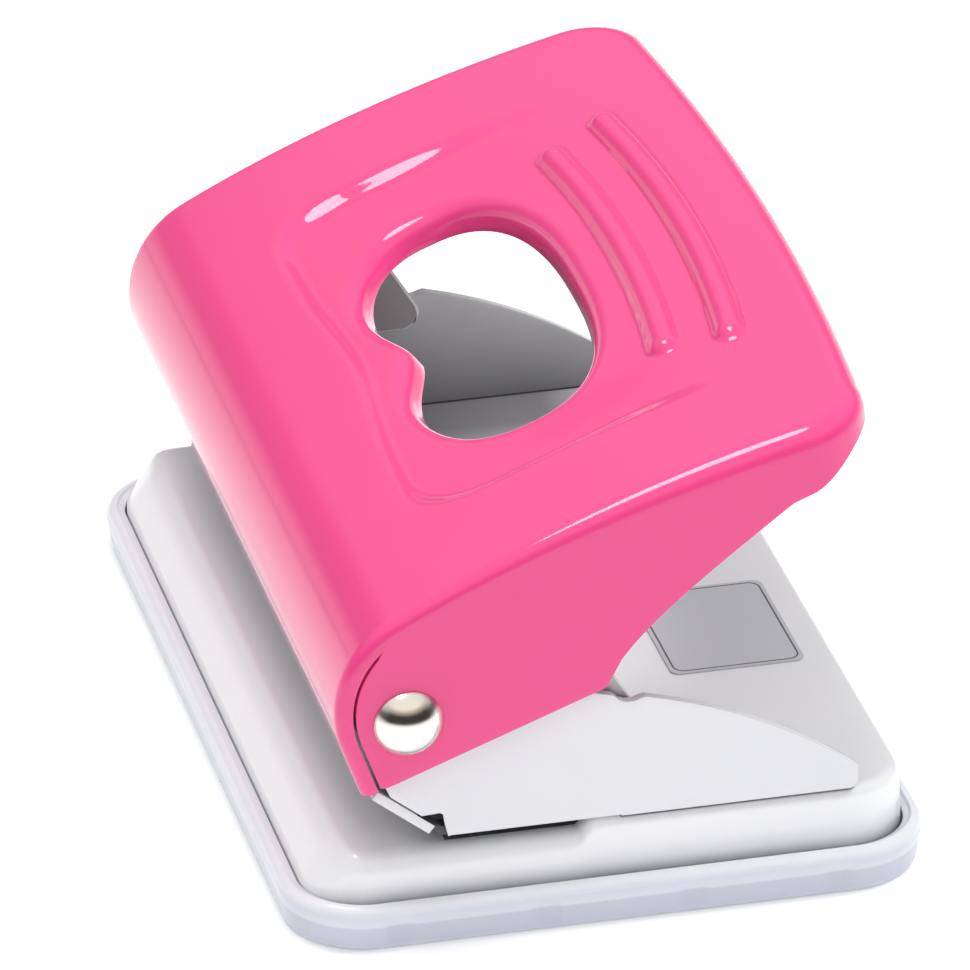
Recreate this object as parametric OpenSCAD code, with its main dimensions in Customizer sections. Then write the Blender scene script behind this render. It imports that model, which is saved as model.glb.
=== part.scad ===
// Two-hole desk punch: a clear chip tray, a pressed base pan, a folded punch frame
// and a pressed lever that drives two spring-returned punch pins.
// Millimetres, +Z up. The origin is on the table under the middle of the tray.
// +X runs from the paper side to the handle, and the two holes lie along Y.

/* [Chip tray] */
// Length of the tray along the line of holes
tray_length = 112; // [108:0.5:130]
// Width of the tray from the paper side to the handle side
tray_width = 75.4; // [74:0.2:90]
// Height of the tray wall above the table
tray_height = 5.7; // [4.5:0.1:7]
// Thickness of the tray wall
tray_wall = 2.2; // [1.8:0.1:2.6]
// Thickness of the tray floor
tray_floor = 1.2; // [0.8:0.1:2]
// Radius of the tray's corners seen from above
tray_corner = 10; // [6:0.5:11]
// Radius along the outer edge of the rim
rim_round = 1.3; // [0.5:0.1:1.6]
// Width of the lowered step along the inside of the rim
rim_step = 1; // [0.6:0.1:1.1]
// Depth of the lowered step along the inside of the rim
rim_step_depth = 0.5; // [0.2:0.1:0.8]
// Spacing of the snap marks along the long walls
snap_pitch = 17; // [12:1:18]
// Length of one snap mark
snap_length = 3.2; // [2:0.2:5]
// Depth of one snap mark in the wall
snap_depth = 0.3; // [0.2:0.05:0.5]

/* [Base pan] */
// Clearance between the pan and the tray wall all round
pan_gap = 0.3; // [0.2:0.05:0.5]
// Sheet thickness of the pan
pan_sheet = 1; // [0.7:0.1:1.2]
// Height of the paper bed above the table
bed_height = 10.7; // [10:0.1:13]
// Height of the paper slot between the bed and the frame
slot_height = 1.6; // [1.3:0.1:2]
// Radius along the pan's long upper edges
pan_round = 2.4; // [1.3:0.1:3]
// Radius along the pan's upper edge on the handle side
nose_round = 4.2; // [2.5:0.1:5]
// How far the paper-side wall leans in
ramp_run = 2; // [1:0.1:3]
// Run of the sloping paper stop between the bed and the frame seat
stop_run = 1.4; // [1:0.1:2]

/* [Holes] */
// Distance between the two hole centres
hole_spacing = 80; // [70:1:88]
// Distance from the paper stop to the hole centres
hole_margin = 12; // [11:0.5:13]
// Diameter of a punched hole
hole_d = 5.5; // [5:0.1:6]
// Place of the line of holes from the middle of the tray
hole_x = -16.2; // [-17:0.1:-15]
// Radial clearance of a punch pin in its guide and die
pin_clearance = 0.05; // [0.03:0.01:0.1]

/* [Frame] */
// Sheet thickness of the frame
frame_sheet = 1.1; // [0.9:0.1:1.3]
// Distance from the pan's long wall to the outer face of a cheek
cheek_inset = 0.1; // [0:0.1:0.6]
// Outer radius of the fold between the floor and a cheek
fold_round = 1.8; // [1.5:0.1:2.4]
// Gap under the free end of a cheek
cheek_lift = 0.4; // [0.3:0.1:0.8]
// Place of the handle end of the cheeks from the middle of the tray
cheek_end = 28.1; // [26:0.5:31]
// Height of the rounded handle end of a cheek
cheek_end_height = 3.4; // [3:0.2:5]
// Height of the cheeks' shoulder above the frame seat
cheek_shoulder = 15.1; // [14:0.1:17]
// Bulge of the curved upper edge of a cheek
cheek_bulge = 1.4; // [0.5:0.1:1.6]
// Length of the sloping paper lip
lip_length = 9.4; // [7:0.2:10]
// Slope of the paper lip in degrees
lip_slope = 38.6; // [34:0.5:44]
// Reach of the riveted tongue past the frame floor
tongue_reach = 8; // [7:0.5:10]
// Diameter of the shank of a frame rivet
frame_rivet_d = 3; // [2.4:0.2:3.6]
// Diameter of the head of a frame rivet
frame_rivet_head = 5.2; // [4.6:0.2:6]

/* [Lever] */
// Height of the pivot above the table
pivot_height = 28.8; // [28.4:0.1:30]
// Distance from the pivot to the line of the punch pins
press_arm = 8.5; // [8:0.1:9]
// Swing of the lever in degrees
lever_swing = 22; // [18:0.5:22]
// Sheet thickness of the lever
lever_sheet = 1.2; // [0.9:0.1:1.4]
// Radius of the rolled back of the lever
back_round = 12.7; // [12.4:0.1:13.4]
// Radius of the gentle curve of the lever's top
crown_radius = 200; // [170:5:260]
// Slope of the top where it leaves the rolled back
top_slope = 28.1; // [26:0.5:30]
// Reach of the handle past the pivot
handle_reach = 55.8; // [52:0.2:60]
// Radius of the front edge of the handle seen from above
handle_bow = 480; // [300:10:700]
// Radius of the handle's corners seen from above
handle_corner = 9; // [6:0.5:12]
// Radius of the edges between the top and the sides
edge_round = 2.6; // [1.8:0.1:3.4]
// Depth of the lever's sides at the elbow below the pivot's end of the handle
elbow_drop = 22; // [20:0.2:23]
// Distance of the elbow past the pivot
elbow_reach = 22.6; // [20:0.2:24]
// Depth of the skirt along the front of the handle
skirt_depth = 3.6; // [3.2:0.2:6]
// Length of the straight flap below the rolled back
flap_length = 7.3; // [5:0.1:7.6]
// Width of the slit between the rolled back and the side ears
slit_width = 0.7; // [0.5:0.1:1]
// Width of the rolled rim beside the slit
slit_inset = 1.9; // [1.5:0.1:2.4]

/* [Lever pressings] */
// Place of the middle of the finger hole past the pivot
window_place = 20.3; // [20:0.1:22]
// Half of the finger hole's width along the lever
window_half_width = 11.8; // [9:0.1:12]
// Half of the finger hole's length across the lever
window_half_length = 25.6; // [18:0.2:27]
// Depth of the notch in the hole's back edge
window_cusp = 4.2; // [1:0.2:5]
// Reach of the notch to each side of the middle
cusp_reach = 8; // [5:0.5:10]
// Depth of the turned-down flange round the hole
window_flange = 3.2; // [2:0.2:4]
// Depth of the sunk panel at its back edge
panel_depth = 1.4; // [0.8:0.1:1.6]
// Half of the sunk panel's length across the lever
panel_half_length = 39; // [34:0.5:42]
// Place of the panel's back edge past the pivot
panel_back = 5.6; // [5:0.2:7]
// Half width of the raised ribs on the handle
rib_width = 1.8; // [1.2:0.1:2]
// Height of the raised ribs
rib_rise = 1.2; // [0.6:0.1:1.4]
// Place of the first rib past the pivot
rib_place = 37.6; // [36:0.2:39]
// Distance between the two ribs
rib_pitch = 7.4; // [6:0.2:9]
// Half length of the first rib
rib_half_length = 25.5; // [20:0.5:28]
// How much longer each half of the second rib is
rib_growth = 3; // [1:0.5:4]
// Bend radius of the ribs seen from above
rib_bend = 205; // [150:5:300]

/* [Pivot] */
// Diameter of the pivot rivets
pivot_d = 5; // [4:0.2:5.6]
// Radial clearance of the pivot rivets in the cheeks
pivot_clearance = 0.05; // [0.03:0.01:0.1]
// Diameter of the domed rivet heads
dome_d = 8.2; // [7.4:0.2:9]
// Height of the domed rivet heads
dome_height = 2.6; // [2:0.1:3.2]
// Thickness of the washers between the cheeks and the lever
pivot_washer = 1; // [0.5:0.1:1.3]
// Play on each side of those washers
side_play = 0.05; // [0.03:0.01:0.1]

/* [Press yoke] */
// Sheet thickness of the yoke
yoke_sheet = 1.1; // [0.9:0.1:1.3]
// Gap between the yoke's ears and the cheeks
yoke_gap = 0.3; // [0.2:0.05:0.5]
// Radius of the bead that presses on the pins
bead_round = 2; // [1.6:0.1:2.4]
// Gap between the bead and the pins
press_gap = 0.05; // [0.03:0.01:0.1]
// Reach of the yoke's ears past the pivot
yoke_reach = 26.8; // [24:0.2:27]
// Depth of the yoke's ears below the pivot
yoke_drop = 5.6; // [5:0.1:5.7]

/* [Pins and springs] */
// Height of the guide bushes above the frame floor
guide_height = 6; // [4:0.2:7]
// Wall of the guide bushes
guide_wall = 1; // [0.8:0.1:1.2]
// Wall of the die bushes
die_wall = 1.7; // [1.4:0.1:2.2]
// Thickness of the shoulder of the die bushes under the bed
die_shoulder = 1.6; // [1:0.1:2]
// Distance from the top of a pin to its clip groove
groove_depth = 1.9; // [1.5:0.1:2.4]
// Thickness of the pin clips
clip_sheet = 0.8; // [0.6:0.1:1]
// Thickness of the spring washers
washer_sheet = 0.8; // [0.6:0.1:1]
// Diameter of the spring washers
washer_d = 11; // [10.8:0.1:12]
// Diameter of the spring wire
wire_d = 0.9; // [0.7:0.05:1]
// Clearance between the springs and the guide bushes
spring_clearance = 0.4; // [0.3:0.05:0.6]
// Turns of the springs
spring_turns = 5.5; // [4.5:0.5:6]

/* [Label] */
// Length of the blank label across the base
label_length = 20.4; // [14:0.2:24]
// Width of the blank label
label_width = 16; // [10:0.2:16]
// Distance of the label's edge from the handle edge of the pan's flat top
label_margin = 0.4; // [0.4:0.1:2]
// Place of the middle of the label from the middle of the tray
label_y = -12.2; // [-20:0.2:20]
// Thickness of the label
label_sheet = 0.2; // [0.1:0.05:0.3]

/* [Hidden] */
$fn = 48;
far = 400;
seat_play = 0.05;
press_play = 0.02;

// Pan and tray
pan_x = tray_width / 2 - tray_wall - pan_gap;
pan_y = tray_length / 2 - tray_wall - pan_gap;
pan_corner = tray_corner - tray_wall - pan_gap;
pan_foot = tray_floor + seat_play;
seat_z = bed_height + slot_height;
stop_x = hole_x + hole_margin;
ramp_foot = tray_height;
ramp_ease = 1.8;
ramp_ease_drop = 0.7;
pin_y = hole_spacing / 2;
die_d = hole_d + 2 * pin_clearance;

// Frame
cheek_y = pan_y - cheek_inset;
floor_top = seat_z + frame_sheet;
floor_start = hole_x - 3.2;
floor_end = stop_x + 4.7;
lip_start = floor_start - 0.8;
tongue_half = 32;
rivet_x = floor_end + 4;
rivet_places = [-26, -9, 9, 26];
ear_round = 5.6;

// Lever
pivot_x = hole_x - press_arm * cos(lever_swing / 2);
lever_in = cheek_y + pivot_washer + 2 * side_play;
lever_y = lever_in + lever_sheet;
back_centre = [pivot_x + 4.5, pivot_height + 1.5];
top_angle = 90 + top_slope;
crown_centre = back_centre - (crown_radius - back_round) * [cos(top_angle), sin(top_angle)];
front_x = pivot_x + handle_reach;
flap_turn = 200;
flap_way = [-sin(flap_turn), cos(flap_turn)];
corner_drop = pow(lever_y - handle_corner, 2) / (2 * handle_bow);
elbow = [pivot_x + elbow_reach, top_z(pivot_x + elbow_reach) - elbow_drop];
function top_z(x) = crown_centre[1] + sqrt(pow(crown_radius, 2) - pow(x - crown_centre[0], 2));
function top_tilt(x) = asin((crown_centre[0] - x) / crown_radius);
function polar(centre, radius, angle) = centre + radius * [cos(angle), sin(angle)];
function arc(centre, radius, from, to, steps) =
  [for (i = [0:steps]) polar(centre, radius, from + (to - from) * i / steps)];

// Pins and press yoke
bead_z = pivot_height + press_arm * sin(lever_swing / 2);
pin_top = bead_z - bead_round - press_gap;
pin_tip = seat_z + 0.2;
clip_z = pin_top - groove_depth - clip_sheet;
washer_z = clip_z - washer_sheet;
guide_d = hole_d + 2 * pin_clearance + 2 * guide_wall;
coil_r = guide_d / 2 + spring_clearance + wire_d / 2;
yoke_out = cheek_y - frame_sheet - yoke_gap;
yoke_in = yoke_out - yoke_sheet;
inner_head = 0.9;
inner_head_d = pivot_d + 2.4;

// Outline helpers: a rounded rectangle about the origin, and an XZ outline given depth along Y
module rounded_rect(half_x, half_y, corner) {
  square([2 * half_x, 2 * (half_y - corner)], center = true);
  square([2 * (half_x - corner), 2 * half_y], center = true);
  for (sx = [-1, 1], sy = [-1, 1])
    translate([sx * (half_x - corner), sy * (half_y - corner)]) circle(corner);
}
module along_y(half) {
  rotate([90, 0, 0]) translate([0, 0, -half]) linear_extrude(2 * half) children();
}
module along_x(from, to) {
  translate([from, 0, 0]) rotate([90, 0, 90]) linear_extrude(to - from) children();
}
// An upright section: a box of the given half width whose two upper edges are rounded
module round_topped(half, bottom, top, radius) {
  translate([-half, bottom]) square([2 * half, top - radius - bottom]);
  translate([-half + radius, bottom]) square([2 * (half - radius), top - bottom]);
  for (s = [-1, 1]) translate([s * (half - radius), top - radius]) circle(radius);
}

// Chip tray: a shallow moulded dish with a stepped rim and snap marks along its long walls
module chip_tray() {
  color([0.86, 0.89, 0.95, 0.6]) difference() {
    intersection() {
      linear_extrude(tray_height) rounded_rect(tray_width / 2, tray_length / 2, tray_corner);
      along_y(tray_length) round_topped(tray_width / 2, 0, tray_height, rim_round);
      along_x(-tray_width, tray_width) round_topped(tray_length / 2, 0, tray_height, rim_round);
    }
    translate([0, 0, tray_floor]) linear_extrude(tray_height)
      rounded_rect(tray_width / 2 - tray_wall, tray_length / 2 - tray_wall, tray_corner - tray_wall);
    translate([0, 0, tray_height - rim_step_depth]) linear_extrude(tray_height)
      rounded_rect(tray_width / 2 - tray_wall + rim_step, tray_length / 2 - tray_wall + rim_step,
                   tray_corner - tray_wall + rim_step);
    for (s = [-1, 1], i = [-1.5:1:1.5])
      translate([i * snap_pitch - snap_length / 2, s * tray_length / 2 - snap_depth, tray_floor])
        cube([snap_length, 2 * snap_depth, (tray_height - rim_round) - tray_floor - 0.6]);
  }
}

// Base pan: one deep pressing with a paper bed, a sloping paper stop and a raised frame seat
module bed_outline(inset) {
  top = bed_height - inset;
  side = -pan_x + inset;
  polygon([
    [side, -far], [side, ramp_foot - inset], [side + ramp_run, top - ramp_ease_drop],
    [side + ramp_run + ramp_ease, top], [pan_x - inset - nose_round, top], [pan_x - inset - nose_round, -far]
  ]);
}
module seat_outline(inset) {
  top = seat_z - inset;
  start = stop_x + inset;
  end = pan_x - inset;
  polygon(concat(
    [[start, -far], [start, bed_height - inset], [start + stop_run, top]],
    arc([end - nose_round, top - nose_round], nose_round, 90, 0, 8),
    [[end, -far]]
  ));
}
module pan_block(inset, foot) {
  intersection() {
    translate([0, 0, foot]) linear_extrude(far)
      rounded_rect(pan_x - inset, pan_y - inset, pan_corner - inset);
    union() {
      intersection() {
        along_y(far / 2) bed_outline(inset);
        along_x(-far, far) round_topped(pan_y - inset, -far, bed_height - inset, pan_round - inset);
      }
      intersection() {
        along_y(far / 2) seat_outline(inset);
        along_x(-far, far) round_topped(pan_y - inset, -far, seat_z - inset, pan_round - inset);
      }
    }
  }
}
module base_pan() {
  color([0.93, 0.93, 0.95]) difference() {
    pan_block(0, pan_foot);
    pan_block(pan_sheet, pan_foot - 1);
    for (s = [-1, 1]) translate([hole_x, s * pin_y, bed_height - 2 * pan_sheet])
      cylinder(d = die_d + 2 * die_wall + 2 * press_play, h = 4 * pan_sheet);
    for (y = rivet_places) translate([rivet_x, y, seat_z - 2 * pan_sheet])
      cylinder(d = frame_rivet_d + 2 * press_play, h = 4 * pan_sheet);
  }
}

// Die bush: a hardened ring flush with the paper bed, its shoulder against the sheet from below
module die_bush(side) {
  under = bed_height - pan_sheet;
  color([0.62, 0.63, 0.66]) translate([hole_x, side * pin_y, 0]) difference() {
    union() {
      translate([0, 0, under - die_shoulder])
        cylinder(d = die_d + 2 * die_wall + 2 * die_shoulder, h = die_shoulder);
      translate([0, 0, under - die_shoulder])
        cylinder(d = die_d + 2 * die_wall, h = die_shoulder + pan_sheet);
    }
    translate([0, 0, under - 2 * die_shoulder]) cylinder(d = die_d, h = far);
  }
}

// Punch frame: one folded sheet with a floor, two cheeks, a sloping paper lip and a riveted tongue
function cheek_outline() = let (
  low = seat_z + cheek_lift,
  fold = seat_z + fold_round,
  end_round = cheek_end_height / 2,
  tip = [cheek_end - end_round, low + end_round],
  shoulder = [stop_x + 7.4, seat_z + cheek_shoulder],
  start = polar(tip, end_round, 50),
  chord = shoulder - start,
  span = norm(chord),
  bow = [chord[1], -chord[0]] / span * cheek_bulge,
  pivot = [pivot_x, pivot_height],
  lip_top = [lip_start, floor_top],
  lip_away = [-cos(lip_slope), sin(lip_slope)],
  lip_gap = 0.25 * [sin(lip_slope), cos(lip_slope)],
  notch = lip_top + 3.2 * lip_away + lip_gap,
  heel = lip_top + (lip_length - 1.6) * lip_away + lip_gap
) concat(
  [[floor_end, fold], [floor_end, low]],
  arc(tip, end_round, -90, 50, 6),
  [for (i = [1:9]) start + chord * i / 9 + bow * (1 - pow(2 * i / 9 - 1, 2))],
  [shoulder + [-1.2, -0.4], shoulder + [-2.6, -0.4], shoulder + [-3.7, 0.6]],
  arc(pivot, ear_round, 72, 200, 12),
  [heel, notch, [floor_start - 0.9, notch[1] + 0.1], [floor_start - 0.8, fold + 0.4], [floor_start, fold]]
);
module frame_section() {
  difference() {
    translate([-cheek_y, seat_z]) square([2 * cheek_y, fold_round + 0.5]);
    translate([-cheek_y + frame_sheet, seat_z + fold_round])
      square([2 * (cheek_y - frame_sheet), far]);
    translate([-cheek_y + fold_round, floor_top]) square([2 * (cheek_y - fold_round), far]);
    for (s = [-1, 1]) {
      translate([s * (cheek_y - fold_round), seat_z + fold_round]) circle(fold_round - frame_sheet);
      difference() {
        translate([s * (cheek_y - fold_round / 2), seat_z + fold_round / 2])
          square([fold_round, fold_round], center = true);
        translate([s * (cheek_y - fold_round), seat_z + fold_round]) circle(fold_round);
      }
    }
  }
}
module lip_outline() {
  low = [lip_start - 0.3, seat_z];
  away = lip_length * [-cos(lip_slope), sin(lip_slope)];
  up = frame_sheet * [sin(lip_slope), cos(lip_slope)];
  polygon([
    [floor_start + 0.4, seat_z], low, low + away, low + away + up, [lip_start, floor_top],
    [floor_start + 0.4, floor_top]
  ]);
}
module punch_frame() {
  color([0.95, 0.95, 0.96]) difference() {
    union() {
      along_x(floor_start, floor_end) frame_section();
      along_y(cheek_y) lip_outline();
      for (s = [-1, 1]) translate([0, s * (cheek_y - frame_sheet / 2), 0])
        along_y(frame_sheet / 2) polygon(cheek_outline());
      translate([floor_end - 1, -tongue_half, seat_z]) cube([tongue_reach + 1, 2 * tongue_half, frame_sheet]);
    }
    translate([pivot_x, 0, pivot_height]) rotate([90, 0, 0])
      cylinder(d = pivot_d + 2 * pivot_clearance, h = far, center = true);
    for (s = [-1, 1]) translate([hole_x, s * pin_y, seat_z - 1])
      cylinder(d = guide_d - guide_wall + 2 * press_play, h = frame_sheet + 2);
    for (y = rivet_places) translate([rivet_x, y, seat_z - 1])
      cylinder(d = frame_rivet_d + 2 * press_play, h = frame_sheet + 2);
  }
}

// Frame rivets: domed heads on the tongue, flat heads under the pan
module frame_rivets() {
  cap = 1.2;
  cap_r = (pow(frame_rivet_head / 2, 2) + pow(cap, 2)) / (2 * cap);
  under = seat_z - pan_sheet;
  color([0.78, 0.78, 0.8]) for (y = rivet_places) translate([rivet_x, y, 0]) {
    translate([0, 0, under]) cylinder(d = frame_rivet_d, h = pan_sheet + frame_sheet);
    translate([0, 0, under - 0.8]) cylinder(d = frame_rivet_head - 0.6, h = 0.8);
    translate([0, 0, floor_top]) rotate_extrude() intersection() {
      translate([0, cap - cap_r]) circle(cap_r);
      square([frame_rivet_head / 2, cap]);
    }
  }
}

// Blank label on the pan beside the handle end of the cheeks
module blank_label() {
  corner = 1.2;
  edge = pan_x - nose_round - label_margin;
  color([0.9, 0.9, 0.93]) translate([edge - label_width / 2, label_y, seat_z]) linear_extrude(label_sheet)
    rounded_rect(label_width / 2, label_length / 2, corner);
}

// Guide bush: a turned sleeve set in the frame floor, with the punch pin running in it
module guide_bush(side) {
  color([0.72, 0.72, 0.74]) translate([hole_x, side * pin_y, 0]) difference() {
    union() {
      translate([0, 0, seat_z]) cylinder(d = guide_d - guide_wall, h = frame_sheet);
      translate([0, 0, floor_top]) cylinder(d = guide_d, h = guide_height);
    }
    translate([0, 0, seat_z - 1]) cylinder(d = hole_d + 2 * pin_clearance, h = far);
  }
}

// Pivot washer between a cheek and the lever's ear
module pivot_washer(side) {
  color([0.8, 0.8, 0.82]) translate([pivot_x, side * (cheek_y + side_play + pivot_washer / 2), pivot_height])
    rotate([90, 0, 0]) difference() {
      cylinder(d = dome_d + 0.8, h = pivot_washer, center = true);
      cylinder(d = pivot_d + 2 * pivot_clearance, h = far, center = true);
    }
}

// Pin spring: one open helix of round wire between the frame floor and the spring washer.
// Ring i stands at angle i / rings_per_turn of a turn, square to the wire.
rings_per_turn = 8;
wire_sides = 6;
coil_rings = round(spring_turns * rings_per_turn);
coil_low = floor_top + wire_d / 2 + 2 * seat_play;
coil_high = washer_z - wire_d / 2 - 2 * seat_play;
coil_rise = atan((coil_high - coil_low) / (spring_turns * 2 * PI * coil_r));
function coil_middle(i) = let (a = 360 * i / rings_per_turn)
  [coil_r * cos(a), coil_r * sin(a), coil_low + (coil_high - coil_low) * i / coil_rings];
function coil_point(i, j) = let (
  a = 360 * i / rings_per_turn,
  b = 360 * j / wire_sides,
  out = [cos(a), sin(a), 0],
  up = [sin(a) * sin(coil_rise), -cos(a) * sin(coil_rise), cos(coil_rise)]
) coil_middle(i) + wire_d / 2 * (cos(b) * out + sin(b) * up);
coil_points = [for (i = [0:coil_rings], j = [0:wire_sides - 1]) coil_point(i, j)];
function ring_point(i, j) = i * wire_sides + j % wire_sides;
coil_faces = concat(
  [for (i = [0:coil_rings - 1], j = [0:wire_sides - 1])
    each [
      [ring_point(i, j), ring_point(i, j + 1), ring_point(i + 1, j + 1)],
      [ring_point(i, j), ring_point(i + 1, j + 1), ring_point(i + 1, j)]
    ]],
  [for (j = [1:wire_sides - 2]) [ring_point(0, 0), ring_point(0, j + 1), ring_point(0, j)]],
  [for (j = [1:wire_sides - 2])
    [ring_point(coil_rings, 0), ring_point(coil_rings, j), ring_point(coil_rings, j + 1)]]
);
coil_gap = min([for (i = [0:coil_rings - 1], k = [i + 5:1:coil_rings])
  norm(coil_middle(i) - coil_middle(k)) - wire_d]);
echo(spring_least_gap = coil_gap);
module pin_spring(side) {
  color([0.7, 0.71, 0.73]) translate([hole_x, side * pin_y, 0]) polyhedron(coil_points, coil_faces);
}

// Lever: one deep pressing. Its crowned top is turned about an axis along Y, and its rolled
// back is a round of its own that stands a hair proud where it runs into the crown.
proud = 0.15;
rear_x = back_centre[0] - back_round;
rear_corner = edge_round + 0.4;
function crown_angle(x) = acos((x - crown_centre[0]) / crown_radius);
module crown_section(inset) {
  half = lever_y - inset;
  edge = edge_round - inset;
  top = crown_radius - inset;
  depth = 60;
  translate([top - depth, -half]) square([depth - edge, 2 * half]);
  translate([top - depth, -half + edge]) square([depth, 2 * (half - edge)]);
  for (s = [-1, 1]) translate([top - edge, s * (half - edge)]) circle(edge);
}
module lever_crown(inset) {
  from = crown_angle(front_x + 6);
  to = crown_angle(rear_x - 12);
  translate([crown_centre[0], 0, crown_centre[1]]) rotate([90, 0, 0]) rotate([0, 0, from])
    rotate_extrude(angle = to - from) crown_section(inset);
}
module crown_disc(rise) {
  translate(crown_centre) circle(crown_radius + rise);
}
module back_outline(inset) {
  flap = polar(back_centre, back_round - inset, flap_turn);
  translate(back_centre) circle(back_round + proud - inset);
  polygon([back_centre, flap, flap + 2 * flap_length * flap_way, back_centre + 2 * flap_length * flap_way]);
  polygon([
    back_centre, polar(back_centre, 60, top_angle), [front_x + 40, pivot_height + 90],
    [front_x + 40, -30], polar(back_centre, 60, top_angle + 180)
  ]);
}
module lever_plan(inset) {
  half = lever_y - inset;
  nose = front_x - corner_drop - handle_corner;
  rear = rear_x + rear_corner;
  intersection() {
    translate([front_x - handle_bow, 0]) circle(handle_bow - inset);
    union() {
      translate([nose - far, -half - 1]) square([far, 2 * half + 2]);
      translate([nose - 1, -(lever_y - handle_corner)]) square([far, 2 * (lever_y - handle_corner)]);
      for (s = [-1, 1]) translate([nose, s * (lever_y - handle_corner)]) circle(handle_corner + proud - inset);
    }
    union() {
      translate([rear, -half - 1]) square([far, 2 * half + 2]);
      translate([rear_x - 1, -(lever_y - rear_corner)]) square([far, 2 * (lever_y - rear_corner)]);
      for (s = [-1, 1]) translate([rear, s * (lever_y - rear_corner)]) circle(rear_corner + proud - inset);
    }
  }
}
module lever_block(inset) {
  intersection() {
    lever_crown(inset);
    along_y(lever_y + 2) back_outline(inset);
    translate([0, 0, -far / 2]) linear_extrude(far) lever_plan(inset);
  }
}
// The part of the side view that is metal: above the ears, the elbow and the rising lower edge
function lever_outline() = let (
  flap_out = polar(back_centre, back_round + 4, flap_turn) + flap_length * flap_way,
  flap_in = polar(back_centre, back_round - slit_inset, flap_turn) + flap_length * flap_way,
  ear_heel = [pivot_x - 2.4, pivot_height - 7.7],
  skirt_in = [front_x - 5, top_z(front_x - 5) - skirt_depth - 0.4],
  skirt = [front_x + 2, top_z(front_x) - skirt_depth],
  rise = skirt_in - elbow,
  sag = [rise[1], -rise[0]] / norm(rise) * 1.6
) concat(
  [[flap_out[0] - 20, flap_out[1]], flap_out, flap_in, ear_heel, elbow],
  [for (i = [1:11]) elbow + rise * i / 12 - sag * sin(180 * pow(i / 12, 0.55))],
  [skirt_in, skirt, [front_x + 2, pivot_height + 90], [flap_out[0] - 20, pivot_height + 90]]
);
// Finger hole: a squared oval with a soft notch in its back edge, in the plane of the panel's floor
hole_power = 0.8;
cusp_power = 1.7;
function power_of(v, n) = sign(v) * pow(abs(v), n);
function window_point(a, grow) = let (
  x = (window_half_width + grow) * power_of(cos(a), hole_power),
  y = (window_half_length + grow) * power_of(sin(a), hole_power),
  notch = x < 0 ? (window_cusp - 0.2 * grow) * exp(-pow(abs(y) / cusp_reach, cusp_power)) : 0
) [x + notch, y];
module window_outline(grow) {
  polygon([for (a = [3:6:357]) window_point(a, grow)]);
}
module on_top(place) {
  x = pivot_x + place;
  translate([x, 0, top_z(x)]) rotate([0, -top_tilt(x), 0]) children();
}
// Sunk panel: a flat floor, deepest along its waisted back edge and running out before the ribs
panel_from = pivot_x + panel_back;
panel_to = pivot_x + rib_place - rib_width - 0.4;
floor_from = [panel_from, top_z(panel_from) - panel_depth];
floor_to = [panel_to, top_z(panel_to) - 0.3];
floor_tilt = atan2(floor_to[1] - floor_from[1], floor_to[0] - floor_from[0]);
module on_panel() {
  x = pivot_x + window_place;
  z = floor_from[1] + (x - floor_from[0]) * tan(floor_tilt);
  translate([x, 0, z]) rotate([0, -floor_tilt, 0]) children();
}
module panel_space(grow) {
  back = panel_from - grow;
  front = panel_to + grow;
  length = panel_half_length + grow;
  waist = [for (i = [-6:6]) [back + 1.3 * cos(15 * i), length * 0.7 * i / 6]];
  intersection() {
    translate([0, 0, pivot_height]) linear_extrude(far) polygon(concat(
      waist, [[back + 3.2, length * 0.9], [back + 7, length], [front, length], [front, -length],
              [back + 7, -length], [back + 3.2, -length * 0.9]]
    ));
    on_panel() translate([-far / 2, -far / 2, -grow]) cube([far, far, far]);
  }
}
// Raised rib: a bowed band with round ends, its top parallel to the crown
module lever_rib(place, half) {
  sweep = asin(half / rib_bend);
  middle = [-rib_bend, 0];
  intersection() {
    on_top(place) translate([0, 0, -2]) linear_extrude(6) polygon(concat(
      arc(middle, rib_bend + rib_width, -sweep, sweep, 10),
      arc(polar(middle, rib_bend, sweep), rib_width, sweep + 30, sweep + 150, 4),
      arc(middle, rib_bend - rib_width, sweep, -sweep, 10),
      arc(polar(middle, rib_bend, -sweep), rib_width, 210 - sweep, 330 - sweep, 4)
    ));
    along_y(half + 4) crown_disc(rib_rise);
  }
}
// Slit beside each ear: it follows the rolled back and then the flap, and opens at the flap's end
slit_from = 134;
module ear_slits() {
  outer = back_round - slit_inset;
  inner = outer - slit_width;
  run = (flap_length + 4) * flap_way;
  outline = concat(
    arc([0, 0], outer, slit_from, flap_turn, 12), [polar([0, 0], outer, flap_turn) + run],
    [polar([0, 0], inner, flap_turn) + run], arc([0, 0], inner, flap_turn, slit_from, 12)
  );
  for (s = [-1, 1]) translate([0, s * lever_y, 0]) along_y(edge_round + 0.4)
    translate(back_centre) polygon(outline);
}
module lever() {
  color([0.98, 0.35, 0.6]) difference() {
    union() {
      difference() {
        union() {
          intersection() {
            lever_block(0);
            along_y(lever_y + 1) polygon(lever_outline());
          }
          lever_rib(rib_place, rib_half_length);
          lever_rib(rib_place + rib_pitch, rib_half_length + rib_growth);
        }
        panel_space(0);
        difference() {
          lever_block(lever_sheet);
          panel_space(lever_sheet);
        }
      }
      on_panel() translate([0, 0, -window_flange]) linear_extrude(window_flange - 0.5)
        window_outline(lever_sheet);
    }
    on_panel() translate([0, 0, -10]) linear_extrude(20) window_outline(0);
    ear_slits();
    translate([pivot_x, 0, pivot_height]) rotate([90, 0, 0]) cylinder(d = pivot_d, h = far, center = true);
  }
}

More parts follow.
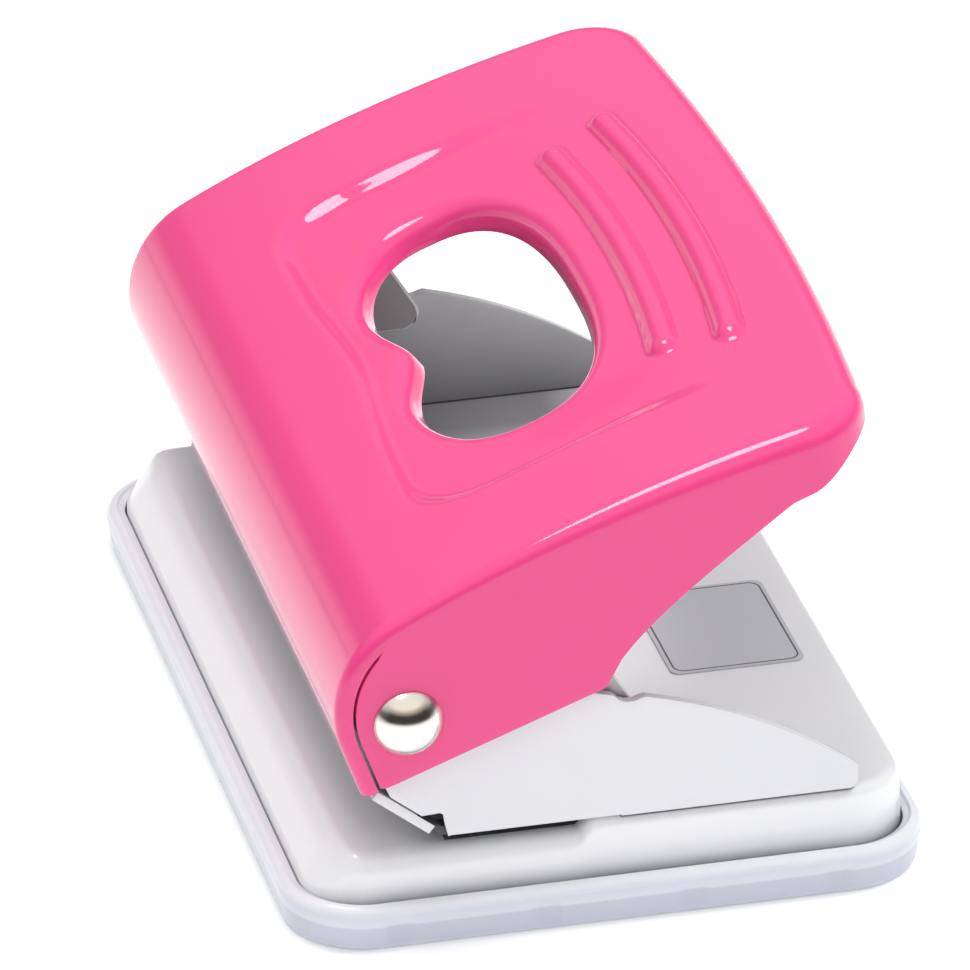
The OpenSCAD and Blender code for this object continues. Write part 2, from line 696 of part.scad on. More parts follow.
// Press yoke: a folded channel under the lever. Its two ears share the pivot rivets,
// its upright flange backs against the lever and its bead bears on the punch pins.
module yoke_ear() {
  tip = 2.2;
  low = pivot_height - yoke_drop;
  end = pivot_x + yoke_reach;
  pivot = [pivot_x, pivot_height];
  polygon(concat(
    arc(pivot, yoke_drop, 75, 270, 16),
    arc([end - tip, low + tip], tip, 270, 385, 6),
    [[end - 4.2, low + 9.6], [hole_x + 6, bead_z + 1.6]]
  ));
}
module press_yoke() {
  web_z = bead_z + 0.1;
  back_x = hole_x - 4.6;
  color([0.75, 0.75, 0.77]) difference() {
    union() {
      for (s = [-1, 1]) translate([0, s * (yoke_out - yoke_sheet / 2), 0]) along_y(yoke_sheet / 2) yoke_ear();
      translate([back_x, -yoke_in - 0.2, web_z]) cube([10.4, 2 * yoke_in + 0.4, yoke_sheet]);
      intersection() {
        translate([hole_x, 0, bead_z]) rotate([90, 0, 0])
          cylinder(r = bead_round, h = 2 * (pin_y + 7), center = true);
        translate([hole_x, 0, web_z - far / 2 + yoke_sheet / 2]) cube([far, far, far], center = true);
      }
      difference() {
        intersection() {
          translate([back_x, -yoke_in, web_z]) cube([yoke_sheet, 2 * yoke_in, far]);
          lever_block(lever_sheet + press_play);
        }
        panel_space(lever_sheet + press_play);
      }
    }
    translate([pivot_x, 0, pivot_height]) rotate([90, 0, 0])
      cylinder(d = pivot_d + 2 * press_play, h = far, center = true);
  }
}

// Pivot rivet: a domed head outside the lever's ear, a plain shank and a flat head inside the yoke
module pivot_rivet(side) {
  dome_r = (pow(dome_d / 2, 2) + pow(dome_height, 2)) / (2 * dome_height);
  color([0.85, 0.84, 0.82]) translate([pivot_x, 0, pivot_height]) rotate([side * -90, 0, 0]) {
    translate([0, 0, yoke_in - inner_head]) cylinder(d = inner_head_d, h = inner_head);
    translate([0, 0, yoke_in - inner_head]) cylinder(d = pivot_d, h = lever_y - yoke_in + inner_head);
    translate([0, 0, lever_y]) rotate_extrude() intersection() {
      translate([0, dome_height - dome_r]) circle(dome_r);
      square([dome_d / 2, dome_height]);
    }
  }
}

// Punch pin: a ground rod with a saddle-shaped cutting tip, a clip groove and a rounded top
groove_step = 0.6;
module punch_pin(side) {
  saddle = 1.1 * hole_d;
  top_r = 2 * hole_d;
  color([0.66, 0.67, 0.7]) translate([hole_x, side * pin_y, 0]) difference() {
    intersection() {
      translate([0, 0, pin_tip]) cylinder(d = hole_d, h = pin_top - pin_tip);
      translate([0, 0, pin_top - top_r]) sphere(top_r);
    }
    translate([0, 0, clip_z]) difference() {
      cylinder(d = hole_d + 2, h = clip_sheet);
      cylinder(d = hole_d - 2 * groove_step, h = far, center = true);
    }
    translate([0, 0, pin_tip - saddle + 0.8]) rotate([90, 0, 0]) cylinder(r = saddle, h = far, center = true);
  }
}

// Pin clip: an open snap ring in the groove
module pin_clip(side) {
  gap = hole_d - 2 * groove_step - 0.6;
  color([0.3, 0.3, 0.32]) translate([hole_x, side * pin_y, clip_z + press_play])
    linear_extrude(clip_sheet - 2 * press_play) difference() {
      circle(d = hole_d + 2.6);
      circle(d = hole_d - 2 * groove_step + 2 * press_play);
      translate([0, -gap / 2]) square([far, gap]);
    }
}

// Spring washer under the clip
module spring_washer(side) {
  color([0.74, 0.74, 0.76]) translate([hole_x, side * pin_y, washer_z]) difference() {
    cylinder(d = washer_d, h = washer_sheet);
    translate([0, 0, -1]) cylinder(d = hole_d + 2 * press_play, h = washer_sheet + 2);
  }
}

chip_tray();
base_pan();
die_bush(-1);  // die_bush_near
die_bush(1);  // die_bush_far
punch_frame();
frame_rivets();
blank_label();
guide_bush(-1);  // guide_bush_near
guide_bush(1);  // guide_bush_far
pivot_washer(-1);  // pivot_washer_near
pivot_washer(1);  // pivot_washer_far
pin_spring(-1);  // pin_spring_near
pin_spring(1);  // pin_spring_far
lever();
press_yoke();
pivot_rivet(-1);  // pivot_rivet_near
pivot_rivet(1);  // pivot_rivet_far
punch_pin(-1);  // punch_pin_near
punch_pin(1);  // punch_pin_far
pin_clip(-1);  // pin_clip_near
pin_clip(1);  // pin_clip_far
spring_washer(-1);  // spring_washer_near
spring_washer(1);  // spring_washer_far
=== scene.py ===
import math

import bmesh
import bpy
import numpy as np
from mathutils import Matrix


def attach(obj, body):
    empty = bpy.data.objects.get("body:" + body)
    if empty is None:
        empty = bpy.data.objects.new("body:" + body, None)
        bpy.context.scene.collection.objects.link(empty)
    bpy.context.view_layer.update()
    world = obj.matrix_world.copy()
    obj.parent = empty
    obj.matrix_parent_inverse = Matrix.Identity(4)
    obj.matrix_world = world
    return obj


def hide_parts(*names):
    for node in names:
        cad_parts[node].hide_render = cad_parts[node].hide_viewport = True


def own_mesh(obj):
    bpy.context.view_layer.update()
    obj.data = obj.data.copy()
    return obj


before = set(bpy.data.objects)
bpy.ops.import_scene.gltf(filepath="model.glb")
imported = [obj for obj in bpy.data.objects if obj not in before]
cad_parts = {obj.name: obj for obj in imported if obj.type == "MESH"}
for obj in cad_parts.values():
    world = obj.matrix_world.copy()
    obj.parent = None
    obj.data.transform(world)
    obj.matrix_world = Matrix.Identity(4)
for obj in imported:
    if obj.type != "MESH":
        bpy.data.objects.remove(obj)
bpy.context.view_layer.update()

# Camera: a long lens at the near end, turned a little to the paper side and a little under a third of
# the way up, as a catalogue picture of a small desk tool is taken.
PHOTO_PIXELS = 970
FOCAL_PIXELS = 10000.0
SENSOR = 36.0
CAMERA_AZIMUTH = math.radians(-13.94)
CAMERA_ELEVATION = math.radians(27.58)
CAMERA_DISTANCE = 1.1655
CAMERA_CLIP = (0.01, 20.0)
CAMERA_SHIFT = (-0.0181, 0.0606)
LOOK_AT = np.array([0.0, 0.0, 0.020])
scene = bpy.context.scene


def stand(thing, place, back):
    """Puts a camera or lamp at place with its back turned the given way. Its side is square to the upright
    and to its back, and its own upright is square to both."""
    side = np.cross([0.0, 0.0, 1.0], back)
    side /= np.linalg.norm(side)
    turn = np.eye(4)
    turn[:3] = np.stack([side, np.cross(back, side), back, place], -1)
    thing.matrix_world = Matrix(turn.tolist())
    scene.collection.objects.link(thing)


camera_back = np.array([
    math.sin(CAMERA_AZIMUTH) * math.cos(CAMERA_ELEVATION),
    -math.cos(CAMERA_AZIMUTH) * math.cos(CAMERA_ELEVATION),
    math.sin(CAMERA_ELEVATION),
])
camera_data = bpy.data.cameras.new("photo_camera")
camera_data.sensor_width = SENSOR
camera_data.lens = FOCAL_PIXELS * SENSOR / PHOTO_PIXELS
camera_data.clip_start, camera_data.clip_end = CAMERA_CLIP
camera_data.shift_x, camera_data.shift_y = CAMERA_SHIFT
camera = bpy.data.objects.new("photo_camera", camera_data)
stand(camera, LOOK_AT + camera_back * CAMERA_DISTANCE, camera_back)
scene.camera = camera
scene.view_settings.view_transform = "Standard"

# Studio: a white table in a white room, with one broad lamp overhead, a weaker one in front and one
# high on the handle's side. Polished faces see a dark band of wall above the horizon.
WHITE = (1.0, 1.0, 1.0, 1)
TABLE_REACH = 3.0
TABLE_MOTTLE = 4.0
TABLE_TINT = (0.94, 0.97)
TABLE_ROUGHNESS = 0.75
TABLE_SHINE = 0.1
TABLE_GLOW = 0.16
ROOM_LIGHT = 0.50
ROOM_SEEN = 1.0
HORIZON = (0.95, 0.95, 0.95, 1)
FRONT_WALL = ((0.02, 0.35), (0.10, 0.04), (0.42, 0.05), (0.58, 0.45), (0.72, 1.0))
REAR_WALL = ((0.06, 0.80), (0.16, 0.20), (0.34, 0.22), (0.44, 0.62), (0.60, 0.75))
FRONT_WARMTH = 0.12
WALLS_MEET = (-0.5, 0.1)


def feed(tree, node, values):
    """Fills a node's inputs by name or number: joins a socket of the tree, or sets a plain value."""
    for name, value in values.items():
        if isinstance(value, bpy.types.NodeSocket):
            tree.links.new(value, node.inputs[name])
        else:
            node.inputs[name].default_value = value


def work(tree, operation, *values):
    """One step of arithmetic in a node tree, on sockets or plain numbers."""
    step = tree.nodes.new("ShaderNodeMath")
    step.operation = operation
    feed(tree, step, dict(enumerate(values)))
    return step.outputs[0]


def graded(tree, value, first, last, start, end):
    """A straight change from start to end while the value goes from first to last."""
    change = tree.nodes.new("ShaderNodeMapRange")
    feed(tree, change, {"Value": value, "From Min": first, "From Max": last, "To Min": start, "To Max": end})
    return change.outputs["Result"]


def blended(tree, share, first, second):
    """The first colour, turned into the second by the given share."""
    mix = tree.nodes.new("ShaderNodeMix")
    mix.data_type = "RGBA"
    feed(tree, mix, {"Factor": share, "A": first, "B": second})
    return mix.outputs["Result"]


def new_material(name):
    """An empty node material with its output, a Principled shader joined to it, and its tree."""
    material = bpy.data.materials.new(name)
    material.use_nodes = True
    tree = material.node_tree
    tree.nodes.clear()
    output = tree.nodes.new("ShaderNodeOutputMaterial")
    shader = tree.nodes.new("ShaderNodeBsdfPrincipled")
    tree.links.new(shader.outputs["BSDF"], output.inputs["Surface"])
    return material, tree, shader


def table_top():
    """A square table top of one quad, with its finish: matt white with faint mottling."""
    mesh = bpy.data.meshes.new("table")
    signs = ((-1, -1), (1, -1), (1, 1), (-1, 1))
    mesh.from_pydata([(x * TABLE_REACH, y * TABLE_REACH, 0) for x, y in signs], [], [(0, 1, 2, 3)])
    table = bpy.data.objects.new("table", mesh)
    scene.collection.objects.link(table)
    material, tree, shader = new_material("table_white")
    place = tree.nodes.new("ShaderNodeTexCoord")
    mottle = tree.nodes.new("ShaderNodeTexNoise")
    feed(tree, mottle, {"Vector": place.outputs["Object"], "Scale": TABLE_MOTTLE})
    tint = graded(tree, mottle.outputs["Fac"], 0.0, 1.0, *TABLE_TINT)
    feed(tree, shader, {"Base Color": tint, "Roughness": TABLE_ROUGHNESS, "Specular IOR Level": TABLE_SHINE,
                        "Emission Color": WHITE, "Emission Strength": TABLE_GLOW})
    mesh.materials.append(material)


table_top()

world = bpy.data.worlds.new("white_room")
world.use_nodes = True
scene.world = world
room = world.node_tree
room.nodes.clear()
room_output = room.nodes.new("ShaderNodeOutputWorld")
room_path = room.nodes.new("ShaderNodeLightPath")
room_way = room.nodes.new("ShaderNodeTexCoord")
room_height = room.nodes.new("ShaderNodeSeparateXYZ")
room.links.new(room_way.outputs["Generated"], room_height.inputs["Vector"])


def room_wall(levels, warmth):
    """Colour by height for one side of the room: pairs of height and brightness, warmed by a share."""
    wall = room.nodes.new("ShaderNodeValToRGB")
    stops = wall.color_ramp.elements
    stops[0].position, stops[1].position = 0.0, 1.0
    stops[0].color, stops[1].color = HORIZON, WHITE
    for height, level in levels:
        stops.new(height).color = (level * (1 + warmth), level, level * (1 - warmth), 1)
    room.links.new(room_height.outputs["Z"], wall.inputs["Fac"])
    return wall.outputs["Color"]


def room_glow(colour, strength):
    """A background shader of that colour and strength."""
    glow = room.nodes.new("ShaderNodeBackground")
    feed(room, glow, {"Color": colour, "Strength": strength})
    return glow.outputs[0]


def room_choice(share, first, second):
    """The first of two shaders, or the second where the share is one."""
    choice = room.nodes.new("ShaderNodeMixShader")
    feed(room, choice, {0: share, 1: first, 2: second})
    return choice.outputs[0]


room_back = graded(room, room_height.outputs["Y"], *WALLS_MEET, 0.0, 1.0)
room_sides = blended(room, room_back, room_wall(FRONT_WALL, FRONT_WARMTH), room_wall(REAR_WALL, 0.0))
room_metal = room_choice(room_path.outputs["Is Glossy Ray"], room_glow(WHITE, ROOM_LIGHT),
                         room_glow(room_sides, ROOM_SEEN))
room_through = work(room, "MAXIMUM", room_path.outputs["Is Camera Ray"],
                    room_path.outputs["Is Transmission Ray"])
room_mix = room_choice(room_through, room_metal, room_glow(WHITE, ROOM_SEEN))
room.links.new(room_mix, room_output.inputs["Surface"])


def soft_lamp(name, place, aim, width, power, mirrored):
    """A round area lamp at place, turned towards aim, which glossy faces mirror or not."""
    data = bpy.data.lights.new(name, "AREA")
    data.shape = "DISK"
    data.size = width
    data.energy = power
    lamp = bpy.data.objects.new(name, data)
    lamp.visible_glossy = mirrored
    away = np.array(place, float) - np.array(aim, float)
    stand(lamp, place, away / np.linalg.norm(away))


soft_lamp("key_lamp", (-0.14, 0.04, 0.88), aim=(0, 0, 0.03), width=0.36, power=3.5, mirrored=True)
soft_lamp("front_lamp", (-0.16, -0.70, 0.70), aim=(0, 0, 0.03), width=0.45, power=1.1, mirrored=False)
soft_lamp("right_lamp", (0.48, -0.08, 0.76), aim=(0, 0, 0.02), width=0.4, power=3.1, mirrored=False)

# Chip tray: a shallow dish moulded in milky polypropylene, with drafted walls, a stepped rim and
# rounded corners. The punch snaps into its rim, over small hollows in the two end walls.
MM = 0.001
TRAY_HALF = np.array([37.7, 56.0])
TRAY_CORNER = 10.0
TRAY_HEIGHT = 5.7
TRAY_WALL = 2.2
TRAY_FLOOR = 1.2
TRAY_DRAFT = 0.9
TRAY_ROUND = 1.2
TRAY_HEEL = 0.5
FOOT_INSET = 0.6
FOOT_LIFT = 0.15
RIM_DROP = 0.5
RIM_LEDGE = 0.22
SNAP_PLACES = (-25.5, -8.5, 8.5, 25.5)
SNAP_DEPTH = 0.3
SNAP_HEIGHT = 2.5
SNAP_HALF = np.array([1.5, 1.35])
SNAP_POWER = 6
END_FACING = 0.999
WELD = 1e-7


def strip_quads(rows, columns, closed=False):
    """Corner numbers of the quads of a grid of rows by columns, joined end to end where closed."""
    across = np.arange(columns if closed else columns - 1)
    row, column = np.meshgrid(np.arange(rows - 1), across, indexing="ij")
    after = (column + 1) % columns
    low, high = row * columns, (row + 1) * columns
    return np.stack([low + column, low + after, high + after, high + column], -1).reshape(-1, 4)


def grid_patch(points, closed=False):
    """A patch for make_piece: a grid of points with its quads."""
    return points, strip_quads(*points.shape[:2], closed)


def make_piece(name, patches, body, material):
    """One mesh object from patches of points in millimetres and quads, welded where they meet, smooth, with
    its faces outwards, riding on body."""
    grids = [grid.reshape(-1, 3) for grid, _ in patches]
    starts = np.cumsum([0] + [len(grid) for grid in grids])
    points = np.concatenate(grids) * MM
    quads = np.concatenate([patch + start for (_, patch), start in zip(patches, starts)])
    mesh = bpy.data.meshes.new(name)
    mesh.vertices.add(len(points))
    mesh.vertices.foreach_set("co", points.ravel())
    mesh.loops.add(quads.size)
    mesh.loops.foreach_set("vertex_index", quads.ravel().astype(np.int32))
    mesh.polygons.add(len(quads))
    mesh.polygons.foreach_set("loop_start", np.arange(0, quads.size, 4, dtype=np.int32))
    mesh.update(calc_edges=True)
    joined = bmesh.new()
    joined.from_mesh(mesh)
    bmesh.ops.remove_doubles(joined, verts=joined.verts, dist=WELD)
    bmesh.ops.dissolve_degenerate(joined, edges=joined.edges, dist=WELD)
    bmesh.ops.delete(joined, geom=[v for v in joined.verts if not v.link_faces], context="VERTS")
    bmesh.ops.recalc_face_normals(joined, faces=joined.faces)
    joined.to_mesh(mesh)
    joined.free()
    mesh.validate()
    mesh.polygons.foreach_set("use_smooth", np.ones(len(mesh.polygons), bool))
    piece = bpy.data.objects.new(name, mesh)
    scene.collection.objects.link(piece)
    mesh.materials.append(material)
    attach(piece, body)
    return piece


def between(first, second, share):
    """What lies at the given share of the way from the first to the second."""
    return first * (1 - share) + second * share


def ways_at(angle):
    """Unit directions in a plane at the given angles."""
    return np.stack([np.cos(angle), np.sin(angle)], -1)


def rounded_path(half, corner, side_steps, end_steps, corner_steps):
    """Centres and outward directions round a rectangle with rounded corners, from the near side on: along
    each straight side the centre moves and the direction stays, and round each corner the reverse."""
    core = np.asarray(half) - corner
    signs = np.array([[-1, -1], [1, -1], [1, 1], [-1, 1], [-1, -1]])
    centres, ways = [], []
    for side, steps in enumerate((side_steps, end_steps, side_steps, end_steps)):
        share = np.linspace(0, 1, steps, endpoint=False)[:, None]
        facing = (side - 1) * math.pi / 2
        turn = np.linspace(facing, facing + math.pi / 2, corner_steps, endpoint=False)
        angle = np.concatenate([np.full(steps, facing), turn])
        ways.append(ways_at(angle))
        centres.append(core * between(signs[side], signs[side + 1], share))
        centres.append(np.broadcast_to(core * signs[side + 1], (corner_steps, 2)))
    return np.concatenate(centres), np.concatenate(ways)


def tray_skin():
    """The tray's closed skin: a profile of inset and height swept round the rounded outline. It runs from the
    middle of the underside out, up the drafted wall, over the rim's quarter round, down a step and the inner
    wall, and back to the middle of the floor. The snap hollows are bell-shaped dents in the end walls."""
    centres, ways = rounded_path(TRAY_HALF, TRAY_CORNER, side_steps=190, end_steps=60, corner_steps=14)
    wall_z = np.linspace(TRAY_HEEL, TRAY_HEIGHT - TRAY_ROUND, 18)
    wall = np.stack([TRAY_DRAFT * (1 - wall_z / TRAY_HEIGHT), wall_z], -1)
    turn = np.linspace(0, math.pi / 2, 7)[1:, None]
    top = wall[-1] + TRAY_ROUND * np.concatenate([1 - np.cos(turn), np.sin(turn)], 1)
    foot = np.array([[TRAY_DRAFT + FOOT_INSET, 0.0], [TRAY_DRAFT + FOOT_LIFT, FOOT_LIFT]])
    # The rim's step and the floor's round are drawn as points of inset and height
    ledge = TRAY_HEIGHT - RIM_DROP
    groove = TRAY_WALL + RIM_LEDGE
    step = np.array([[1.5, TRAY_HEIGHT - 0.05], [1.6, ledge + 0.1], [1.7, ledge], [TRAY_WALL + 0.1, ledge],
                     [groove, ledge - 0.2], [groove, ledge - 0.7], [TRAY_WALL, ledge - 1.2]])
    inner = np.array([[TRAY_WALL, TRAY_FLOOR + 0.8], [TRAY_WALL + 0.25, TRAY_FLOOR + 0.2],
                      [TRAY_WALL + 0.8, TRAY_FLOOR]])
    profile = np.concatenate([foot, wall, top, step, inner])
    ring = centres[None] + (TRAY_CORNER - profile[:, 0])[:, None, None] * ways[None]
    skin = np.concatenate([ring, np.broadcast_to(profile[:, 1][:, None, None], ring.shape[:2] + (1,))], -1)
    end_wall = np.abs(ways[:, 1]) > END_FACING
    beside = (centres[:, :1] - np.array(SNAP_PLACES)) / SNAP_HALF[0]
    dent = np.exp(-(beside ** SNAP_POWER)).sum(1) * end_wall
    above = (profile[:, 1] - SNAP_HEIGHT) / SNAP_HALF[1]
    hollow = SNAP_DEPTH * np.exp(-(above ** SNAP_POWER)) * (profile[:, 0] < TRAY_DRAFT)
    skin[..., 1] -= hollow[:, None] * (dent * ways[:, 1])[None]
    under = np.zeros((1,) + skin.shape[1:])
    over = under + np.array([0, 0, TRAY_FLOOR])
    return np.concatenate([under, skin, over])


RIPPLE_HEIGHT = 0.0002
ROUGHNESS_SPREAD = 0.08
COAT_ROUGHNESS = 0.04


def finish_group():
    """Node group that all finishes share: mottling and ripple from two noises on Object coordinates.

    Colour is the base colour scaled by one plus mottling times a slow noise, Roughness is the base
    roughness plus a slow noise, and Height is a fine noise for a Bump node."""
    group = bpy.data.node_groups.new("sprayed_finish", "ShaderNodeTree")
    for way, numbers in (("INPUT", ("Mottling", "Roughness", "Slow scale", "Fine scale")),
                         ("OUTPUT", ("Roughness", "Height"))):
        group.interface.new_socket(name="Colour", in_out=way, socket_type="NodeSocketColor")
        for name in numbers:
            group.interface.new_socket(name=name, in_out=way, socket_type="NodeSocketFloat")
    nodes = group.nodes
    inside = nodes.new("NodeGroupInput")
    outside = nodes.new("NodeGroupOutput")
    place = nodes.new("ShaderNodeTexCoord")
    slow = nodes.new("ShaderNodeTexNoise")
    fine = nodes.new("ShaderNodeTexNoise")
    for noise, scale, detail in ((slow, "Slow scale", 2.0), (fine, "Fine scale", 1.0)):
        feed(group, noise, {"Vector": place.outputs["Object"], "Scale": inside.outputs[scale]})
        feed(group, noise, {"Detail": detail})
    centred = work(group, "SUBTRACT", slow.outputs["Fac"], 0.5)
    amount = work(group, "MULTIPLY_ADD", centred, inside.outputs["Mottling"], 1.0)
    rough = work(group, "MULTIPLY_ADD", centred, ROUGHNESS_SPREAD, inside.outputs["Roughness"])
    scaled = nodes.new("ShaderNodeVectorMath")
    scaled.operation = "SCALE"
    feed(group, scaled, {0: inside.outputs["Colour"], "Scale": amount})
    feed(group, outside, {"Colour": scaled.outputs[0], "Roughness": rough, "Height": fine.outputs["Fac"]})
    return group


SPRAYED = finish_group()


def finished(name, colour, roughness, metallic=0.0, coat=0.0, mottling=0.06, slow=60.0, fine=900.0,
             bump=0.02):
    """A material of the shared finish with its own colour, gloss, coat and ripple depth."""
    material, tree, shader = new_material(name)
    finish = tree.nodes.new("ShaderNodeGroup")
    finish.node_tree = SPRAYED
    feed(tree, finish, {"Colour": (*colour, 1), "Mottling": mottling, "Roughness": roughness,
                        "Slow scale": slow, "Fine scale": fine})
    ripple = tree.nodes.new("ShaderNodeBump")
    feed(tree, ripple, {"Strength": bump, "Distance": RIPPLE_HEIGHT, "Height": finish.outputs["Height"]})
    feed(tree, shader, {"Base Color": finish.outputs["Colour"], "Roughness": finish.outputs["Roughness"],
                        "Normal": ripple.outputs["Normal"], "Metallic": metallic, "Coat Weight": coat,
                        "Coat Roughness": COAT_ROUGHNESS})
    return material


def part_of(material, kind):
    """The material's node of that kind."""
    return next(node for node in material.node_tree.nodes if node.type == kind)


def object_place(tree):
    """The three Object coordinates, as sockets of a material's tree."""
    place = tree.nodes.new("ShaderNodeTexCoord")
    split = tree.nodes.new("ShaderNodeSeparateXYZ")
    tree.links.new(place.outputs["Object"], split.inputs["Vector"])
    return split.outputs


# Painted shade and light on the tray's wall, as tints by height: darker low down, palest at the rim.
FOOT_SHADE_TINT = (0.76, 0.79, 0.87, 1)
RIM_TINT = (0.90, 0.92, 0.97, 1)
WALL_SHADING_TINTS = ((0.14, (0.60, 0.635, 0.74, 1)), (0.52, (0.62, 0.65, 0.755, 1)), (0.57, (0.78, 0.81, 0.885, 1)),
              (0.78, (0.72, 0.75, 0.84, 1)), (0.90, RIM_TINT))
INSIDE_HALF = TRAY_HALF - 5.5


def milky_plastic():
    """Milky plastic with painted shading: a colour ramp of Object height goes from the foot
    over the wall to the rim, darker low on the wall, paler in a band midway and palest at the rim,
    and the floor inside the walls is as pale as the rim."""
    material = finished("tray_plastic", WHITE[:3], roughness=0.3, coat=0.5, mottling=0.04, slow=110.0,
                        bump=0.0)
    tree = material.node_tree
    x, y, z = object_place(tree)
    along = work(tree, "LESS_THAN", work(tree, "ABSOLUTE", x), INSIDE_HALF[0] * MM)
    across = work(tree, "LESS_THAN", work(tree, "ABSOLUTE", y), INSIDE_HALF[1] * MM)
    inside = work(tree, "MULTIPLY", along, across)
    share = work(tree, "ADD", graded(tree, z, 0.0, TRAY_HEIGHT * MM, 0.0, 1.0), inside)
    # This ramp paints shade low on the tray's wall and light at its rim.
    ramp = tree.nodes.new("ShaderNodeValToRGB")
    stops = ramp.color_ramp.elements
    stops[0].color, stops[1].color = FOOT_SHADE_TINT, RIM_TINT
    for height, colour in WALL_SHADING_TINTS:
        stops.new(height).color = colour
    tree.links.new(share, ramp.inputs["Fac"])
    tree.links.new(ramp.outputs["Color"], part_of(material, "GROUP").inputs["Colour"])
    feed(tree, part_of(material, "BSDF_PRINCIPLED"), {"Transmission Weight": 0.12, "IOR": 1.45})
    return material


tray = make_piece("milky_tray", [grid_patch(tray_skin(), closed=True)], "tray", milky_plastic())
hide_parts("chip_tray")

# Base pan: a pressed steel pan, sprayed satin white. It stands in the tray and carries the paper bed,
# the sloping stop and the raised seat. Two ground die bushes are pressed into its bed.
PAN_HALF = np.array([35.2, 53.5])
PAN_CORNER = 7.5
PAN_FOOT = 1.25
PAN_SHEET = 1.0
BED_HEIGHT = 10.7
SEAT_RISE = 1.6
STOP_FROM, STOP_TO = -4.3, -2.7
WALL_DRAFT = 0.4
BED_ROUND = 2.6
SEAT_ROUND = 1.5
RAMP_DROP = 5.2
RAMP_SLOPE = 1.4
RAMP_SOFTNESS = 0.7
RAMP_REACH = (0.2, 6.0)
RAMP_FACING = (0.35, 1.0)
ROUND_CHANGE = (-6.0, -1.0)
PIN_X = -16.2
PIN_Y = 40.0
PIN_PLACES = np.array([[PIN_X, -PIN_Y], [PIN_X, PIN_Y]])
DIE_RADIUS = 4.6
GROUND_EDGE = 0.1
# Painted shade on the seat: how far it reaches from the cheeks, along under the lever, and how dark it is.
SEAT_SHADE_ASIDE = np.array([35.0, 45.0]) * MM
SEAT_SHADE_ALONG = np.array([17.0, 26.0]) * MM
SEAT_SHADE_DEPTH = 0.68
# Painted shade on the bed under the frame, in the paper slot: where it lies, how it fades and how dark it is.
BED_SHADE_MIDDLE = -10.3
BED_SHADE_HALF = (9.0, 50.8)
BED_SHADE_FADE = np.array([11.9, 12.2]) * MM
BED_SHADE_DEPTH = 0.85
# Colour of the painted shade on the pan and the frame.
PAINTED_SHADE = (0.05, 0.048, 0.055, 1)


def smooth_step(value, low, high):
    """Zero below low, one above high, with a level start and end between them."""
    share = np.clip((value - low) / (high - low), 0, 1)
    return share * share * (3 - 2 * share)


def cut_round(points, quads, axes, middle, radius):
    """Leaves out the quads inside a circle in the plane of two axes, and draws the points of the other quads
    that lie inside it out on to the circle."""
    away = points[:, axes] - middle
    distance = np.linalg.norm(away, axis=1)
    kept = quads[~np.all(distance[quads] < radius, axis=1)]
    drawn = middle + away * (radius / np.maximum(distance, 1e-6))[:, None]
    moved = points.copy()
    moved[:, axes] = np.where((distance < radius)[:, None], drawn, points[:, axes])
    return moved, kept


def pan_patch():
    """The pan's outer face: rings from the foot up a drafted wall, over a quarter round and in to the middle.
    On the paper side the wall is a ramp with a soft top. The bed rises by a smooth step at the stop, and the
    faces inside the two die holes are left out, with the points beside them drawn on to a circle."""
    centres, ways = rounded_path(PAN_HALF, PAN_CORNER, side_steps=130, end_steps=44, corner_steps=14)
    turn = np.linspace(0, math.pi / 2, 12)
    radius = BED_ROUND + (SEAT_ROUND - BED_ROUND) * smooth_step(centres[:, 0], *ROUND_CHANGE)
    plain_in = WALL_DRAFT + np.outer(1 - np.cos(turn), radius)
    plain = np.stack([plain_in, np.outer(1 - np.sin(turn), radius)], -1)
    ramp_in = np.linspace(*RAMP_REACH, 12)
    ramp_low = RAMP_SOFTNESS * np.log1p(np.exp((RAMP_DROP - RAMP_SLOPE * ramp_in) / RAMP_SOFTNESS))
    ramp = np.stack([ramp_in, ramp_low], -1)
    share = smooth_step(-ways[:, 0], *RAMP_FACING)[None, :, None]
    profile = between(plain, ramp[:, None], share)
    ring = centres[None] + (PAN_CORNER - profile[..., :1]) * ways[None]
    inner = centres[None] * np.linspace(1, 0, 52)[:, None, None]
    foot = centres + PAN_CORNER * ways
    plan = np.concatenate([foot[None], ring, inner])
    low = np.concatenate([profile[..., 1], np.zeros(inner.shape[:2])])
    height = BED_HEIGHT + SEAT_RISE * smooth_step(plan[..., 0], STOP_FROM, STOP_TO)
    height[1:] -= low
    height[0] = PAN_FOOT
    points = np.concatenate([plan, height[..., None]], -1).reshape(-1, 3)
    quads = strip_quads(*plan.shape[:2], closed=True)
    for middle in PIN_PLACES:
        points, quads = cut_round(points, quads, [0, 1], middle, DIE_RADIUS)
    return points, quads


def overlaid(material, colour, share):
    """Mixes another colour into the colour of the material's finish by the given share."""
    tree = material.node_tree
    mixed = blended(tree, share, part_of(material, "GROUP").outputs["Colour"], colour)
    tree.links.new(mixed, part_of(material, "BSDF_PRINCIPLED").inputs["Base Color"])


